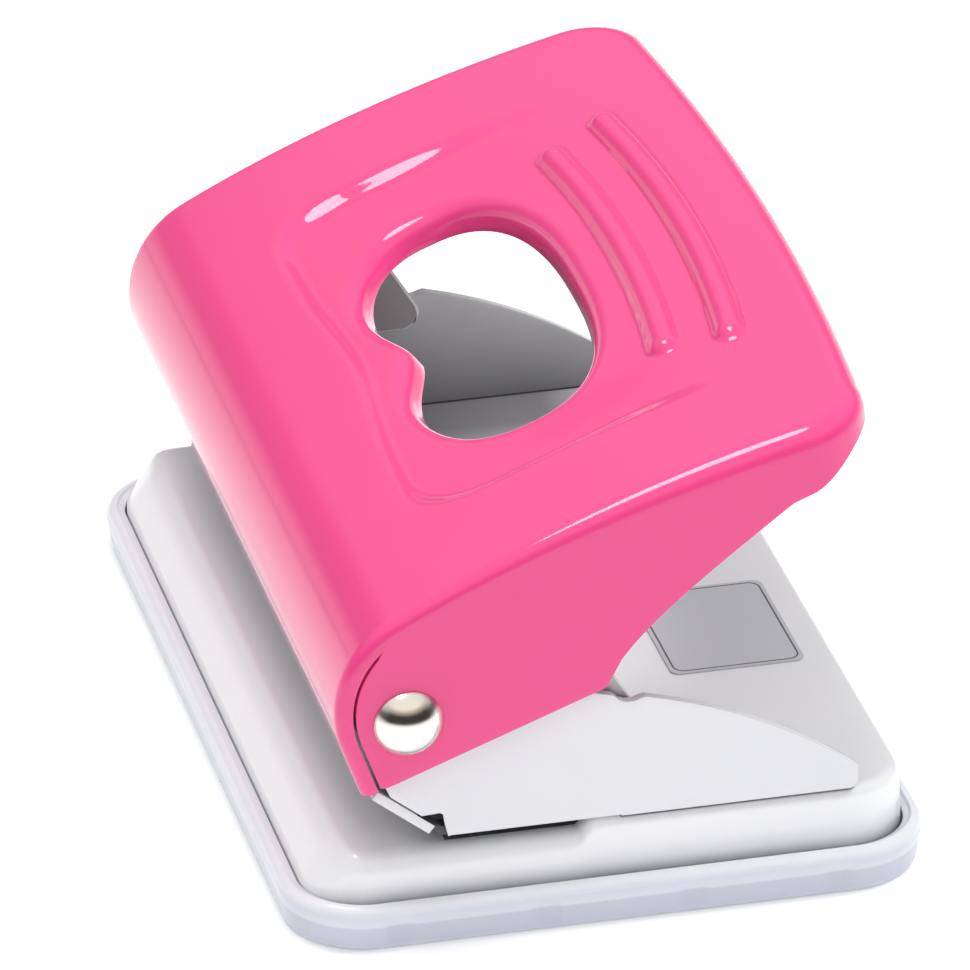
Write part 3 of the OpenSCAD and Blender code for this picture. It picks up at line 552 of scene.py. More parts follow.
def pan_enamel():
    """White enamel with painted shade, by Object coordinates: darker on the seat towards the feet of the
    cheeks and under the lever, and nearly black on the bed under the frame."""
    material = finished("pan_enamel", (0.87, 0.88, 0.90), roughness=0.30, coat=0.5)
    tree = material.node_tree
    x, y, z = object_place(tree)
    aside = work(tree, "ABSOLUTE", y)
    # Painted shade on the seat, darker towards the cheeks' feet and under the lever.
    outward = graded(tree, aside, *SEAT_SHADE_ASIDE, 0.0, SEAT_SHADE_DEPTH)
    inward = graded(tree, x, *SEAT_SHADE_ALONG, 1.0, 0.0)
    seat = work(tree, "GREATER_THAN", z, BED_SHADE_FADE[1])
    painted_seat_shade = work(tree, "MULTIPLY", work(tree, "MULTIPLY", outward, inward), seat)
    # Painted shade on the bed under the frame, fading out above the bed's height.
    along = work(tree, "COMPARE", x, BED_SHADE_MIDDLE * MM, BED_SHADE_HALF[0] * MM)
    across = work(tree, "LESS_THAN", aside, BED_SHADE_HALF[1] * MM)
    low = graded(tree, z, *BED_SHADE_FADE, BED_SHADE_DEPTH, 0.0)
    bed = work(tree, "MULTIPLY", work(tree, "MULTIPLY", along, across), low)
    overlaid(material, PAINTED_SHADE, work(tree, "MAXIMUM", painted_seat_shade, bed))
    return material


def thicken(piece, sheet):
    """Gives the piece's outer face the thickness of its sheet, in millimetres, inwards."""
    thickness = piece.modifiers.new("sheet", "SOLIDIFY")
    thickness.thickness = sheet * MM
    thickness.offset = -1.0
    return thickness


CLOSE_WELD = 1e-6
WIDE_WELD = 5e-5


def round_edges(piece, width, angle, segments=2):
    """Rounds the edges that turn by more than the angle, in degrees, by a width in millimetres."""
    rounding = piece.modifiers.new("edge", "BEVEL")
    rounding.width = width * MM
    rounding.segments = segments
    rounding.limit_method = "ANGLE"
    rounding.angle_limit = math.radians(angle)
    return rounding


def dress(node, material, edge=0.0, rim=None):
    """Gives a CAD node its finish and welded corners, rounded by the edge's width where it is not zero. A rim
    is the finish of those edges, which are then cut flat."""
    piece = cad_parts[node]
    piece.data.materials.clear()
    piece.data.materials.append(material)
    weld = piece.modifiers.new("weld", "WELD")
    weld.merge_threshold = CLOSE_WELD if rim is None else WIDE_WELD
    if edge > 0:
        rounding = round_edges(piece, edge, angle=35, segments=2 if rim is None else 1)
        if rim is not None:
            piece.data.materials.append(rim)
            rounding.material = 1
            rounding.use_clamp_overlap = False


pan = make_piece("pressed_pan", [pan_patch()], "punch", pan_enamel())
thicken(pan, PAN_SHEET)
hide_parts("base_pan")
ground_steel = finished("ground_steel", (0.50, 0.51, 0.53), roughness=0.25, metallic=1.0, mottling=0.1,
                        fine=2500.0)
for side in ("near", "far"):
    dress(f"die_bush_{side}", ground_steel, edge=GROUND_EDGE)

# Punch frame: folded steel sheet in a slightly greyer white, with two cheeks for the lever's pivots and
# a lip for the paper. Four plated rivets hold it down on the pan's seat.
FRAME_SHEET = 1.1
FRAME_EDGE = 0.2
CHEEK_Y = 53.4
CHEEK_LOW = 12.7
FOOT_SLANT = 1.1
CHEEK_END = 28.1
CHEEK_NOSE = 0.9
CHEEK_TIP = ((-0.6, 15.75), (0.0, 15.2))
PIVOT = np.array([-24.544, 28.8])
EAR_ROUND = 5.6
EAR_OVER = (180, 72)
EAR_UNDER = (180, 200)
SHOULDER = np.array([3.2, 27.4])
CHEEK_BULGE = 1.4
FLOOR_TOP = 13.4
FLOOR_HALF = 52.4
FLOOR_END = 0.5
LIP_SLOPE = 38.6
LIP_BEND = 1.2
LIP_GAP = 0.25
LIP_LENGTH = 9.4
LIP_WIDENS = 0.4
LIP_FOLLOWED = (LIP_LENGTH - 1.6, 3.2)
LIP_TOP = np.array([-20.2, FLOOR_TOP])
LIP_AWAY = ways_at(math.radians(LIP_SLOPE)) * (-1, 1)
TONGUE_END = 7.2
TONGUE_HALF = 29.5
GUIDE_RADIUS = 3.35
PIVOT_RADIUS = 2.56
FRAME_UNDERSIDE = 12.36
INSIDE_FACE = 52.6
# Painted shade inside the cheeks: how high it reaches from the fold and how dark it is.
SHADE_REACH = 27.0
CHEEK_SHADE_DEPTH = 0.65
# Painted shade in the two corner reliefs at the folds.
RELIEF_MIDDLE = (-21.1, 52.0)
RELIEF_HALF = (1.9, 1.3)
RELIEF_TOP = 16.4


def frame_enamel():
    """White enamel with painted shade, by Object coordinates: darker inside the cheeks from the pivot's
    height down to the fold, and dark on the underside and in the two corner reliefs."""
    material = finished("frame_enamel", (0.77, 0.78, 0.805), roughness=0.38, coat=0.2)
    tree = material.node_tree
    x, y, z = object_place(tree)
    aside = work(tree, "ABSOLUTE", y)
    # Painted shade on the frame's underside, below the height of its floor.
    below = work(tree, "LESS_THAN", z, FRAME_UNDERSIDE * MM)
    # Painted shade inside the cheeks, darkest at the fold.
    within = work(tree, "LESS_THAN", aside, INSIDE_FACE * MM)
    fading = graded(tree, z, FRAME_UNDERSIDE * MM, SHADE_REACH * MM, CHEEK_SHADE_DEPTH, 0.0)
    inside = work(tree, "MULTIPLY", within, fading)
    # Painted shade in the two corner reliefs.
    along = work(tree, "COMPARE", x, RELIEF_MIDDLE[0] * MM, RELIEF_HALF[0] * MM)
    across = work(tree, "COMPARE", aside, RELIEF_MIDDLE[1] * MM, RELIEF_HALF[1] * MM)
    low = work(tree, "LESS_THAN", z, RELIEF_TOP * MM)
    relief = work(tree, "MULTIPLY", work(tree, "MULTIPLY", across, along), low)
    overlaid(material, PAINTED_SHADE, work(tree, "MAXIMUM", work(tree, "MAXIMUM", below, inside), relief))
    return material


def thick_sheet(outer, inner, quads):
    """A closed sheet from the quads of its outer face, the matching points of its inner face, and walls along
    every edge that only one quad has."""
    edges = np.stack([quads, np.roll(quads, -1, 1)], -1).reshape(-1, 2)
    _, where, uses = np.unique(np.sort(edges, 1), axis=0, return_inverse=True, return_counts=True)
    rim = edges[uses[where.ravel()] == 1]
    shift = len(outer)
    walls = np.stack([rim[:, 1], rim[:, 0], rim[:, 0] + shift, rim[:, 1] + shift], -1)
    return np.concatenate([outer, inner]), np.concatenate([quads, quads[:, ::-1] + shift, walls])


def cheek_patch(side):
    """One upright cheek: a grid between its upper and its lower edge, both drawn over x. The upper edge goes
    round the pivot, down to a hollow at the shoulder and along a bowed chord to the blunt end. The lower edge
    follows the lip with a small gap, leaves a relief at the fold and runs straight to the end, sheared at a
    slant beyond the floor so that its inner side closes on the pan's round shoulder."""
    ear_top = PIVOT + EAR_ROUND * ways_at(np.radians(np.linspace(*EAR_OVER, 14)))
    ear_low = PIVOT + EAR_ROUND * ways_at(np.radians(np.linspace(*EAR_UNDER, 5)))
    hollow = SHOULDER + np.array([[-3.7, 0.6], [-3.0, -0.1], [-2.2, -0.4], [-1.3, -0.4], [-0.6, -0.15]])
    tip, blunt = np.array([[CHEEK_END, 0.0]]) + CHEEK_TIP
    share = np.linspace(0, 1, 21)[:, None]
    chord = tip - SHOULDER
    square = np.array([-chord[1], chord[0]]) / np.linalg.norm(chord)
    bowed = SHOULDER + chord * share + CHEEK_BULGE * (1 - (2 * share - 1) ** 2) * square
    top = np.concatenate([ear_top, hollow, bowed, [blunt]])
    gap = LIP_GAP * np.array([LIP_AWAY[1], -LIP_AWAY[0]])
    along_lip = LIP_TOP + gap + np.outer(LIP_FOLLOWED, LIP_AWAY)
    relief = np.array([[-20.5, 15.7], [-20.1, 15.5], [-19.9, 14.2], [-19.5, 12.6], [-19.2, CHEEK_LOW]])
    end_turn = np.radians(np.linspace(0, 90, 6))
    nose = np.array([CHEEK_END - CHEEK_NOSE, CHEEK_LOW + CHEEK_NOSE])
    low_end = nose + CHEEK_NOSE * np.stack([np.sin(end_turn), -np.cos(end_turn)], -1)
    low = np.concatenate([ear_low, along_lip, relief, low_end])
    x = np.unique(np.concatenate([np.linspace(top[0, 0], CHEEK_END, 120), top[:, 0], low[:, 0]]).round(4))
    rows = np.linspace(0, 1, 15)[:, None]
    z = between(np.interp(x, *low.T), np.interp(x, *top.T), rows)
    outer = np.stack([np.broadcast_to(x, z.shape), np.full_like(z, side * CHEEK_Y), z], -1).reshape(-1, 3)
    outer, quads = cut_round(outer, strip_quads(*z.shape), [0, 2], PIVOT, PIVOT_RADIUS)
    inner = outer - np.array([0, side * FRAME_SHEET, 0])
    foot = (np.repeat(rows, len(x)) == 0) & (outer[:, 0] > FLOOR_END)
    inner[:, 2] -= FOOT_SLANT * foot
    return thick_sheet(outer, inner, quads)


def floor_patch():
    """Lip, floor and tongue: one bent strip across the punch, whose upper face follows the lip down, a short
    bend and the level floor. Beyond the floor's end only the tongue is left. Two guide holes are cut."""
    bend = np.linspace(0, math.radians(LIP_SLOPE), 7)
    run = LIP_BEND / math.tan(math.radians(90 - LIP_SLOPE / 2))
    lip = LIP_TOP + np.linspace(LIP_LENGTH, run, 14)[:, None] * LIP_AWAY
    fold = LIP_TOP[0] + run
    turn = np.stack([fold - LIP_BEND * np.sin(bend), FLOOR_TOP + LIP_BEND * (1 - np.cos(bend))], -1)[::-1]
    tongue_x = np.linspace(FLOOR_END, TONGUE_END, 17)[1:]
    floor_x = np.concatenate([np.linspace(fold, FLOOR_END, 46)[1:], tongue_x])
    floor = np.stack([floor_x, np.full_like(floor_x, FLOOR_TOP)], -1)
    line = np.concatenate([lip[:-1], turn, floor])
    step = np.gradient(line, axis=0)
    normal = np.stack([-step[:, 1], step[:, 0]], -1) / np.linalg.norm(step, axis=1, keepdims=True)
    half = np.where(line[:, 0] < LIP_TOP[0] - LIP_WIDENS, CHEEK_Y, FLOOR_HALF)
    y = half[:, None] * np.linspace(-1, 1, 181)
    upper = np.stack([np.broadcast_to(line[:, :1], y.shape), y, np.broadcast_to(line[:, 1:], y.shape)], -1)
    sunk = np.stack([normal[:, 0], np.zeros(len(line)), normal[:, 1]], -1)[:, None] * FRAME_SHEET
    upper, under = upper.reshape(-1, 3), (upper - sunk).reshape(-1, 3)
    quads = strip_quads(*y.shape)
    middle = upper[quads].mean(1)
    quads = quads[(middle[:, 0] < FLOOR_END) | (np.abs(middle[:, 1]) < TONGUE_HALF)]
    for place in PIN_PLACES:
        under, _ = cut_round(under, quads, [0, 1], place, GUIDE_RADIUS)
        upper, quads = cut_round(upper, quads, [0, 1], place, GUIDE_RADIUS)
    return thick_sheet(upper, under, quads)


frame_patches = [cheek_patch(-1), cheek_patch(1), floor_patch()]
folded = make_piece("folded_frame", frame_patches, "punch", frame_enamel())
round_edges(folded, FRAME_EDGE, angle=50)
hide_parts("punch_frame")
zinc_plate = finished("zinc_plate", (0.74, 0.74, 0.76), roughness=0.42, metallic=0.7, mottling=0.12)
dress("frame_rivets", zinc_plate)

# Label: a small silver-white film stuck on the seat. It is bare inside a thin printed border with
# round corners.
LABEL_MIDDLE = (22.6, -12.2, 0.0)
LABEL_HALF = (8.0, 10.2)
BORDER_INSET = 0.55
BORDER_CORNER = 1.3
BORDER_HALF_WIDTH = 0.11
BORDER_INK = (0.10, 0.10, 0.12, 1)


def label_film():
    """Film finish with a border line: the distance from a smaller rectangle, worked out from Object
    coordinates, is the corner's radius along the line, which is dark, and elsewhere the film is pale."""
    material = finished("label_film", (0.61, 0.62, 0.655), roughness=0.3, metallic=0.15, mottling=0.05,
                        slow=90.0, bump=0.0)
    tree = material.node_tree
    value = tree.nodes.new("ShaderNodeTexCoord").outputs["Object"]
    core = [(half - BORDER_INSET - BORDER_CORNER) * MM for half in LABEL_HALF]
    for operation, amount in (("SUBTRACT", [v * MM for v in LABEL_MIDDLE]), ("ABSOLUTE", None),
                              ("SUBTRACT", [*core, 1.0]), ("MAXIMUM", [0.0, 0.0, 0.0]), ("LENGTH", None)):
        step = tree.nodes.new("ShaderNodeVectorMath")
        step.operation = operation
        if amount is not None:
            step.inputs[1].default_value = amount
        tree.links.new(value, step.inputs[0])
        value = step.outputs["Value" if operation == "LENGTH" else "Vector"]
    overlaid(material, BORDER_INK, work(tree, "COMPARE", value, BORDER_CORNER * MM, BORDER_HALF_WIDTH * MM))
    return material


dress("blank_label", label_film())

# Guide bushes and pivot washers: ground steel bushes pressed into the frame to guide the pins, and
# plated washers between the cheeks and the lever.
for side in ("near", "far"):
    dress(f"guide_bush_{side}", ground_steel, edge=GROUND_EDGE)
    dress(f"pivot_washer_{side}", zinc_plate)

# Return springs: drawn steel wire wound on a mandrel, with closed ends. Each stands on the frame
# round its guide bush and lifts its pin by the washer under the clip.
COIL_RADIUS = 4.65
WIRE_RADIUS = 0.45
COIL_TURNS = 6.0
COIL_FOOT = FLOOR_TOP
COIL_HEAD = 24.85
END_TURN = 0.8
spring_wire = finished("spring_wire", (0.42, 0.42, 0.44), roughness=0.28, metallic=1.0, mottling=0.15)


def coil_skin(y):
    """A closed round wire along a helix about the pin: its height rises evenly between the two end turns,
    which lie flat, and the wire's radius falls to nothing at its two tips."""
    turn = np.linspace(0, 1, 220)
    angle = 2 * math.pi * COIL_TURNS * turn
    rise = np.clip((turn * COIL_TURNS - END_TURN) / (COIL_TURNS - 2 * END_TURN), 0, 1)
    z = COIL_FOOT + WIRE_RADIUS + (COIL_HEAD - COIL_FOOT - 2 * WIRE_RADIUS) * rise
    around = np.linspace(0, 2 * math.pi, 12, endpoint=False)
    wire = np.full_like(turn, WIRE_RADIUS)
    wire[[0, -1]] = 0
    reach = COIL_RADIUS + wire[:, None] * np.cos(around)
    height = z[:, None] + wire[:, None] * np.sin(around)
    return np.stack([PIN_X + reach * np.cos(angle)[:, None], y + reach * np.sin(angle)[:, None], height], -1)


for side, place in (("near", -PIN_Y), ("far", PIN_Y)):
    coil = make_piece(f"coil_{side}", [grid_patch(coil_skin(place), closed=True)], "punch", spring_wire)
    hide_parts(f"pin_spring_{side}")
    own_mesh(coil)

# Lever: one deep-drawn steel sheet, sprayed gloss pink outside and dull inside. The back is rolled, the
# top crowned, the finger hole turned down all round, a panel pressed in and two ribs pressed up. It
# hangs on two rivets.
BACK_CENTRE = np.array([-20.0438, 30.3])
BACK_RADIUS = 12.7
CROWN_RADIUS = 200.0
TOP_ANGLE = math.radians(118.1)
CROWN_CENTRE = BACK_CENTRE - (CROWN_RADIUS - BACK_RADIUS) * ways_at(TOP_ANGLE)
FLAP_ANGLE = math.radians(200.0)
FLAP_LENGTH = 7.3
FLAP_CORNER = 1.4
FLAP_WAY = np.array([-math.sin(FLAP_ANGLE), math.cos(FLAP_ANGLE)])
LEVER_HALF = 55.7
LEVER_SHEET = 1.2
EDGE_RADIUS = 2.6
BACK_EDGE_RADIUS = 1.5
EDGE_DROP = 0.4
HANDLE_FRONT = 31.256
HANDLE_BOW = 480.0
HANDLE_CORNER = 9.0
BACK_LENGTH = FLAP_LENGTH + BACK_RADIUS * (FLAP_ANGLE - TOP_ANGLE)


def crown_length(x):
    """Distance along the lever's top, from the flap's edge, of the crown's point at that x."""
    return BACK_LENGTH + CROWN_RADIUS * (TOP_ANGLE - np.arccos((x - CROWN_CENTRE[0]) / CROWN_RADIUS))


LEVER_LENGTH = crown_length(HANDLE_FRONT)


def lever_line(s):
    """Point and outward normal of the lever's middle line at distance s: first the straight flap, then the
    rolled back, a round of BACK_RADIUS, then the crown, a round of CROWN_RADIUS, each without a kink."""
    on_back = s < BACK_LENGTH
    rolled = FLAP_ANGLE - np.maximum(s - FLAP_LENGTH, 0) / BACK_RADIUS
    angle = np.where(on_back, rolled, TOP_ANGLE - (s - BACK_LENGTH) / CROWN_RADIUS)
    normal = ways_at(angle)
    centre = np.where(on_back[..., None], BACK_CENTRE, CROWN_CENTRE)
    radius = np.where(on_back, BACK_RADIUS, CROWN_RADIUS)
    straight = np.maximum(FLAP_LENGTH - s, 0)[..., None] * FLAP_WAY
    return centre + radius[..., None] * normal + straight, normal


RIBS = ((13.8, 12.2, 25.5), (21.2, 19.3, 28.5))
RIB_HALF = 1.95
RIB_RISE = 1.25
RIB_POWER = 0.9
PANEL_HALF = 39.0
PANEL_STEP = 1.35
PANEL_BOWL = 0.5
PANEL_BACK = -19.4
PANEL_BLEND = 9.0
WAIST_DEPTH = 1.5
WAIST_REACH = 14.0
STEP_FROM = -0.3
STEP_WIDE, STEP_SHARPER = 2.75, 1.25
STEP_FADE = (-6.0, 19.0)
BOWL_REACH = (1.5, 16.0)
BOWL_FADE = (4.0, 26.0)


def pressed_height(x, y):
    """How far the pressings stand above the crown: the panel, sunk inside a waisted outline by a step that is
    sharper at the back and by a shallow bowl, both fading towards the handle, and the two bowed ribs with
    round ends, which stand up."""
    inside_back = x - (PANEL_BACK + WAIST_DEPTH * np.exp(-(y / WAIST_REACH) ** 2))
    inside_side = PANEL_HALF - np.abs(y)
    share = np.clip(0.5 + 0.5 * (inside_side - inside_back) / PANEL_BLEND, 0, 1)
    inside = between(inside_side, inside_back, share) - PANEL_BLEND * share * (1 - share)
    sunk = smooth_step(inside, STEP_FROM, STEP_WIDE - STEP_SHARPER * share)
    step = PANEL_STEP * sunk * (1 - smooth_step(x, *STEP_FADE))
    bowl = PANEL_BOWL * smooth_step(inside, *BOWL_REACH) * (1 - smooth_step(x, *BOWL_FADE))
    height = -step - bowl
    for middle, end, half in RIBS:
        along = np.clip(y, -half, half)
        across = x - (middle - (middle - end) * (along / half) ** 2)
        reach = np.hypot(across, y - along)
        dome = np.clip(1 - (reach / RIB_HALF) ** 2, 0, 1)
        height = height + RIB_RISE * dome ** RIB_POWER
    return height


def on_lever(s, y, depth=0.0, pressed=True):
    """Points of the lever in millimetres: the middle line at s, moved across to y and in by depth."""
    point, normal = lever_line(s)
    rise = pressed_height(point[..., 0], y) if pressed else 0.0
    lift = rise - depth
    return np.stack([point[..., 0] + lift * normal[..., 0], y, point[..., 1] + lift * normal[..., 1]], -1)


HOLE_X = -4.24
HOLE_MIDDLE = crown_length(np.array(HOLE_X))
HOLE_HALF = (11.8, 25.6)
HOLE_POWER = 0.8
NOTCH_DEPTH = 4.2
NOTCH_REACH = 8.0
NOTCH_POWER = 1.7
TOP_HALF = LEVER_HALF - EDGE_RADIUS
TOP_FRONT = LEVER_LENGTH - EDGE_RADIUS
CORNER = HANDLE_CORNER - EDGE_RADIUS
CORNER_Y = TOP_HALF - CORNER
CORNER_DROP = CORNER_Y ** 2 / (2 * HANDLE_BOW)
CORNER_S = TOP_FRONT - CORNER_DROP - CORNER


def edge_radius(s):
    """Radius of the rounded edge between top and wall: tight along the back, wider towards the handle."""
    return BACK_EDGE_RADIUS + (EDGE_RADIUS - BACK_EDGE_RADIUS) * smooth_step(s, BACK_LENGTH, CORNER_S)


def top_rim(side_steps, corner_steps, front_steps):
    """Rim of the lever's top where its rounded edges begin, as (s, y), with the outward direction:
    the near side, a corner, the bowed front, the far corner and the far side."""
    along = np.linspace(0, 1, side_steps + 1)
    flap_corner = FLAP_CORNER * (1 - np.sqrt(1 - np.clip(1 - CORNER_S * along / FLAP_CORNER, 0, 1) ** 2))
    near = np.stack([CORNER_S * along, edge_radius(CORNER_S * along) - LEVER_HALF + flap_corner], -1)
    near_out = np.stack([np.zeros_like(along), -np.ones_like(along)], -1)
    turn = np.linspace(-math.pi / 2, 0, corner_steps + 1)[1:]
    corner_out = ways_at(turn)
    corner = np.array([CORNER_S, -CORNER_Y]) + CORNER * corner_out
    across = np.linspace(-CORNER_Y, 0, front_steps // 2 + 1)[1:]
    front = np.stack([TOP_FRONT - across ** 2 / (2 * HANDLE_BOW), across], -1)
    front_out = np.stack([np.ones_like(across), across / HANDLE_BOW], -1)
    front_out /= np.linalg.norm(front_out, axis=1, keepdims=True)
    half = np.concatenate([near, corner, front])
    half_out = np.concatenate([near_out, corner_out, front_out])
    flip = np.array([1, -1])
    rim = np.concatenate([half, (half * flip)[-2::-1]])
    rim_out = np.concatenate([half_out, (half_out * flip)[-2::-1]])
    return rim, rim_out


def hole_ring(rim):
    """The finger hole's edge, as (s, y), one point for each point of the rim, in much the same direction from
    the hole's middle: a squared oval, with a bell-shaped notch pushed into its back edge."""
    ahead = rim[:, 0] - HOLE_MIDDLE
    scale = np.where(ahead > 0, TOP_FRONT - HOLE_MIDDLE, HOLE_MIDDLE)
    angle = np.arctan2(rim[:, 1] / TOP_HALF, ahead / scale)
    across = HOLE_HALF[0] * np.sign(np.cos(angle)) * np.abs(np.cos(angle)) ** HOLE_POWER
    y = HOLE_HALF[1] * np.sign(np.sin(angle)) * np.abs(np.sin(angle)) ** HOLE_POWER
    notch = np.where(across < 0, NOTCH_DEPTH * np.exp(-(np.abs(y) / NOTCH_REACH) ** NOTCH_POWER), 0)
    return np.stack([HOLE_MIDDLE + across + notch, y], -1)


def ring_out(ring):
    """Unit directions out of a closed ring, square to the step between each point's neighbours."""
    step = np.roll(ring, -1, 0) - np.roll(ring, 1, 0)
    out = np.stack([step[:, 1], -step[:, 0]], -1)
    return out / np.linalg.norm(out, axis=1, keepdims=True)


SLIT_ANGLE = math.radians(135.0)
SLIT_TOP = FLAP_LENGTH + BACK_RADIUS * (FLAP_ANGLE - SLIT_ANGLE)
EAR_INSET = 2.25
EAR_FLAP = 6.1
EAR_HEEL = np.array([-26.9, 21.0])
ELBOW = np.array([-2.6, 30.15])
ELBOW_BEND = np.array([-1.9, 30.45])
RISE_FROM = np.array([-1.3, 31.5])
RISE_TO = np.array([19.4, 50.8])
RISE_BULGE = 1.4
RISE_POWER = 0.62
WALL_CHANGE = (19.0, 29.5)
WALL_DEPTH = 7.75
SKIRT_DEPTH = 3.6
HOLE_TURN = math.radians(75)
HOLE_ROUND = 2.4
HOLE_LIP = 1.6


def ear_low_edge():
    """Lower edge of the side wall from the heel to the handle, as (x, z): straight to the elbow, a bend,
    then a chord that bulges towards the lever by a sine of a power of its share."""
    share = np.linspace(0, 1, 13)[:, None]
    straight = between(EAR_HEEL, ELBOW, share)
    chord = RISE_TO - RISE_FROM
    square = np.array([-chord[1], chord[0]]) / np.linalg.norm(chord)
    rise = RISE_FROM + chord * share + RISE_BULGE * np.sin(math.pi * share ** RISE_POWER) * square
    return np.concatenate([straight, ELBOW_BEND[None], rise])


def run_along(points):
    """Distance along a broken line at each of its points."""
    return np.concatenate([[0], np.cumsum(np.linalg.norm(np.diff(points, axis=0), axis=1))])


def polyline(points, shares):
    """Points of a broken line at the given shares of its length."""
    run = run_along(points)
    return np.stack([np.interp(shares * run[-1], run, points[:, k]) for k in range(points.shape[1])], -1)


def lever_patches():
    """The lever's outer face in three patches: the top from the turned-down hole edge out to the rim, the
    rounded edge round the rim, and the side and front walls from that edge down to the sheet's free edge."""
    side_steps, corner_steps, front_steps, back_steps = 92, 14, 110, 70
    rim, rim_out = top_rim(side_steps, corner_steps, front_steps)
    back_y = np.linspace(TOP_HALF, -TOP_HALF, back_steps + 1)[1:-1]
    whole = np.concatenate([rim, np.stack([np.zeros_like(back_y), back_y], -1)])
    ring = hole_ring(whole)
    out = ring_out(ring)
    bend = np.linspace(HOLE_TURN, 0, 9)
    flare = HOLE_LIP * math.cos(HOLE_TURN)
    reach = flare + HOLE_ROUND * (math.sin(HOLE_TURN) - np.sin(bend))
    depth = HOLE_ROUND * (1 - np.cos(bend))
    reach = np.concatenate([[0, 0.5 * flare], reach])
    low = depth[0] + HOLE_LIP * math.sin(HOLE_TURN)
    depth = np.concatenate([[low, 0.5 * (low + depth[0])], depth])
    turned = ring[None] + reach[:, None, None] * out[None]
    share = np.linspace(0, 1, 78)[1:, None, None]
    spread = between(turned[-1], whole, share)
    top = np.concatenate([turned, spread])
    turned_depth = np.broadcast_to(depth[:, None], turned.shape[:2])
    top_depth = np.concatenate([turned_depth, np.zeros(spread.shape[:2])])
    patches = [grid_patch(on_lever(top[..., 0], top[..., 1], top_depth), closed=True)]

    # The rounded edge is a quarter round with a short straight drop below it
    steps = 8
    front_radius = np.full(len(rim) // 2 - side_steps, EDGE_RADIUS)
    radius = np.concatenate([edge_radius(rim[:side_steps + 1, 0]), front_radius])
    radius = np.concatenate([radius, radius[-2::-1]])
    turn = np.append(np.linspace(0, math.pi / 2, steps + 1), math.pi / 2)[:, None]
    drop = np.append(np.zeros(steps + 1), EDGE_DROP)[:, None]
    edge = rim[None] + (radius * np.sin(turn))[..., None] * rim_out[None]
    edge_points = on_lever(edge[..., 0], edge[..., 1], radius * (1 - np.cos(turn)) + drop, pressed=False)
    patches.append(grid_patch(edge_points))

    # The walls go down from that edge, from the slits beside the ears to the front
    walled = rim[:, 0] >= SLIT_TOP
    upper = edge_points[-1][walled]
    footing = edge[-1][walled]
    per_side = (footing[:, 0] <= CORNER_S + 1e-6).sum() // 2
    fade = smooth_step(lever_line(footing[:, 0])[0][:, 0], *WALL_CHANGE)
    depth = between(WALL_DEPTH, SKIRT_DEPTH, fade)
    lower = on_lever(footing[:, 0], footing[:, 1], depth, pressed=False)
    rows = np.linspace(0, 1, 25)[:, None, None]
    wall = between(upper, lower, rows)

    # Each ear fills the space between its four edges, the same on both sides
    top_edge = upper[:per_side][:, [0, 2]]
    run = run_along(top_edge)
    along = (run / run[-1])[None, :, None]
    arc = np.linspace(SLIT_ANGLE, FLAP_ANGLE, 17)
    left = BACK_CENTRE + (BACK_RADIUS - EAR_INSET) * ways_at(arc)
    left = np.concatenate([left, left[-1] + np.linspace(0, EAR_FLAP, 9)[1:, None] * FLAP_WAY])
    left[0] = top_edge[0]
    low_line = np.concatenate([left[-1:], ear_low_edge(), lower[per_side - 1][None][:, [0, 2]]])
    low_edge = polyline(low_line, run / run[-1])
    right = wall[:, per_side - 1][:, [0, 2]]
    ends = between(top_edge[0], top_edge[-1], along), between(low_edge[0], low_edge[-1], along)
    ear = between(top_edge, low_edge, rows) + between(left[:, None], right[:, None], along)
    ear = ear - between(*ends, rows)
    wall[:, :per_side, 0], wall[:, :per_side, 2] = ear[..., 0], ear[..., 1]
    wall[:, -per_side:, 0], wall[:, -per_side:, 2] = ear[:, ::-1, 0], ear[:, ::-1, 1]
    patches.append(grid_patch(wall))
    return patches


LEVER_EDGE = 0.25
pink_enamel = finished("pink_enamel", (0.83, 0.064, 0.248), roughness=0.30, coat=1.0, bump=0.01)
part_of(pink_enamel, "BSDF_PRINCIPLED").inputs["Specular IOR Level"].default_value = 0.05
dull_primer = finished("dull_primer", (0.20, 0.15, 0.165), roughness=0.55, mottling=0.15)
lever = make_piece("pressed_lever", lever_patches(), "lever_arm", pink_enamel)
lever.data.materials.append(dull_primer)
lever_sheet = thicken(lever, LEVER_SHEET)
lever_sheet.use_quality_normals = True
lever_sheet.material_offset = 1
round_edges(lever, LEVER_EDGE, angle=50)
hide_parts("lever")

# Press yoke and pivot rivets: a folded zinc-plated channel under the lever, whose ears share the domed
# nickel rivets that the lever turns on.
yoke_plate = finished("yoke_plate", (0.46, 0.43, 0.44), roughness=0.45, metallic=0.5, mottling=0.15)
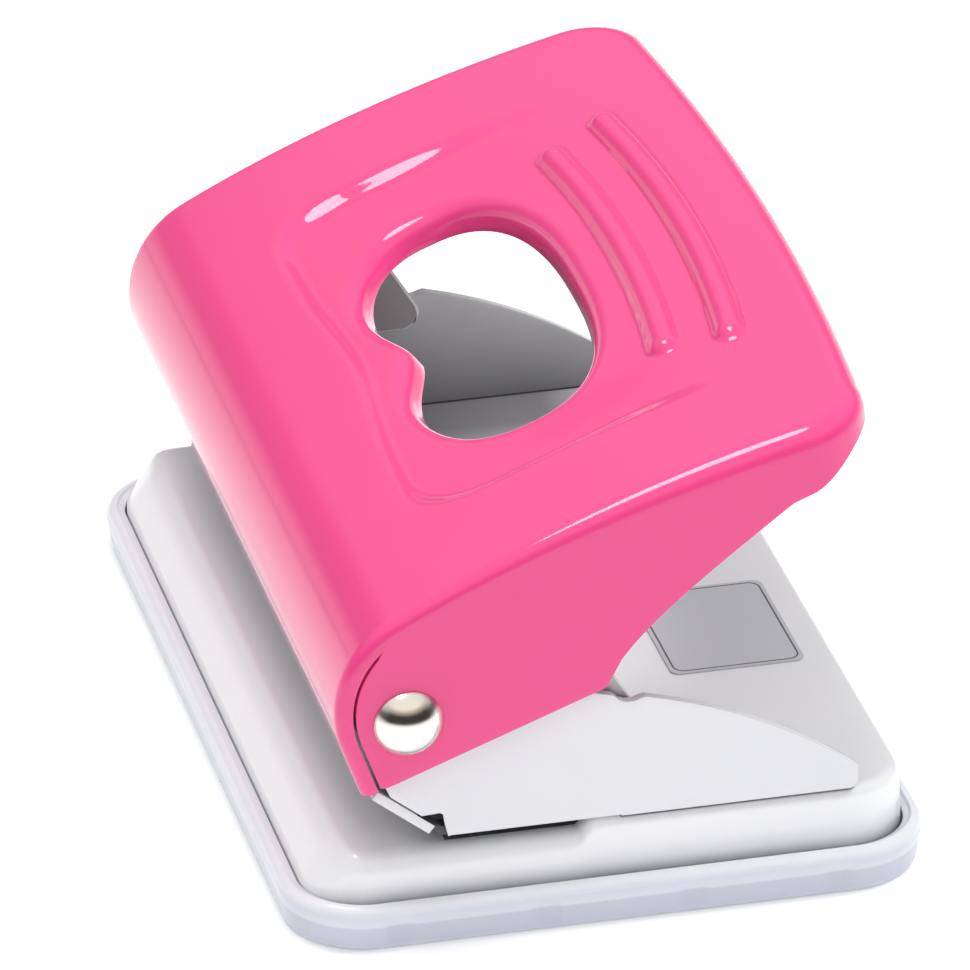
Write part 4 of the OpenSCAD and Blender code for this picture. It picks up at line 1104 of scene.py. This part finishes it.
# Painted highlight: a pale finish on the yoke's rounded edges, for the light they catch.
painted_edge_highlight = finished("painted_edge_highlight", (0.90, 0.90, 0.91), roughness=0.5, mottling=0.08)
YOKE_RIM = 0.3
dress("press_yoke", yoke_plate, edge=YOKE_RIM, rim=painted_edge_highlight)
DOME_RADIUS = 4.1
DOME_HEIGHT = 2.6
DOME_TUCK = 0.1
RIVET_EDGE = 0.12
SHANK_RADIUS = 2.48
INNER_HEAD = (3.4, 0.9)
RIVET_FOOT = 50.0


def rivet_skin(side):
    """A rivet turned about the pivot's axis: a spherical dome with a small rounded rim on the lever's ear, a
    plain shank, and a flat inner head on the yoke's ear."""
    ball = (DOME_RADIUS ** 2 + DOME_HEIGHT ** 2) / (2 * DOME_HEIGHT)
    tilt = np.linspace(0, math.asin(DOME_RADIUS / ball), 20)
    dome = np.stack([ball * np.sin(tilt), LEVER_HALF + DOME_HEIGHT - ball * (1 - np.cos(tilt))], -1)
    rest = np.array([[DOME_RADIUS - DOME_TUCK, LEVER_HALF], [SHANK_RADIUS, LEVER_HALF],
                     [SHANK_RADIUS, RIVET_FOOT + INNER_HEAD[1]], [INNER_HEAD[0], RIVET_FOOT + INNER_HEAD[1]],
                     [INNER_HEAD[0], RIVET_FOOT], [0, RIVET_FOOT]])
    profile = np.concatenate([dome, rest])
    around = np.linspace(0, 2 * math.pi, 72, endpoint=False)
    x = PIVOT[0] + profile[:, :1] * np.cos(around)
    z = PIVOT[1] + profile[:, :1] * np.sin(around)
    return np.stack([x, np.broadcast_to(side * profile[:, 1:], x.shape), z], -1)


polished_nickel = finished("polished_nickel", (0.82, 0.79, 0.75), roughness=0.13, metallic=1.0,
                           mottling=0.04, bump=0.0)
for side, sign in (("near", -1), ("far", 1)):
    rivet_patch = grid_patch(rivet_skin(sign), closed=True)
    rivet = make_piece(f"domed_rivet_{side}", [rivet_patch], "lever_arm", polished_nickel)
    round_edges(rivet, RIVET_EDGE, angle=40)
    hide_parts(f"pivot_rivet_{side}")

# Punch pins: ground tool steel with a saddle-shaped cutting end. Each has a blackened clip in its groove
# and a plated washer below it, which its spring lifts.
black_clip = finished("black_clip", (0.05, 0.05, 0.055), roughness=0.4, metallic=0.6, mottling=0.2)
for side in ("near", "far"):
    dress(f"punch_pin_{side}", ground_steel, edge=GROUND_EDGE)
    dress(f"pin_clip_{side}", black_clip)
    dress(f"spring_washer_{side}", zinc_plate)
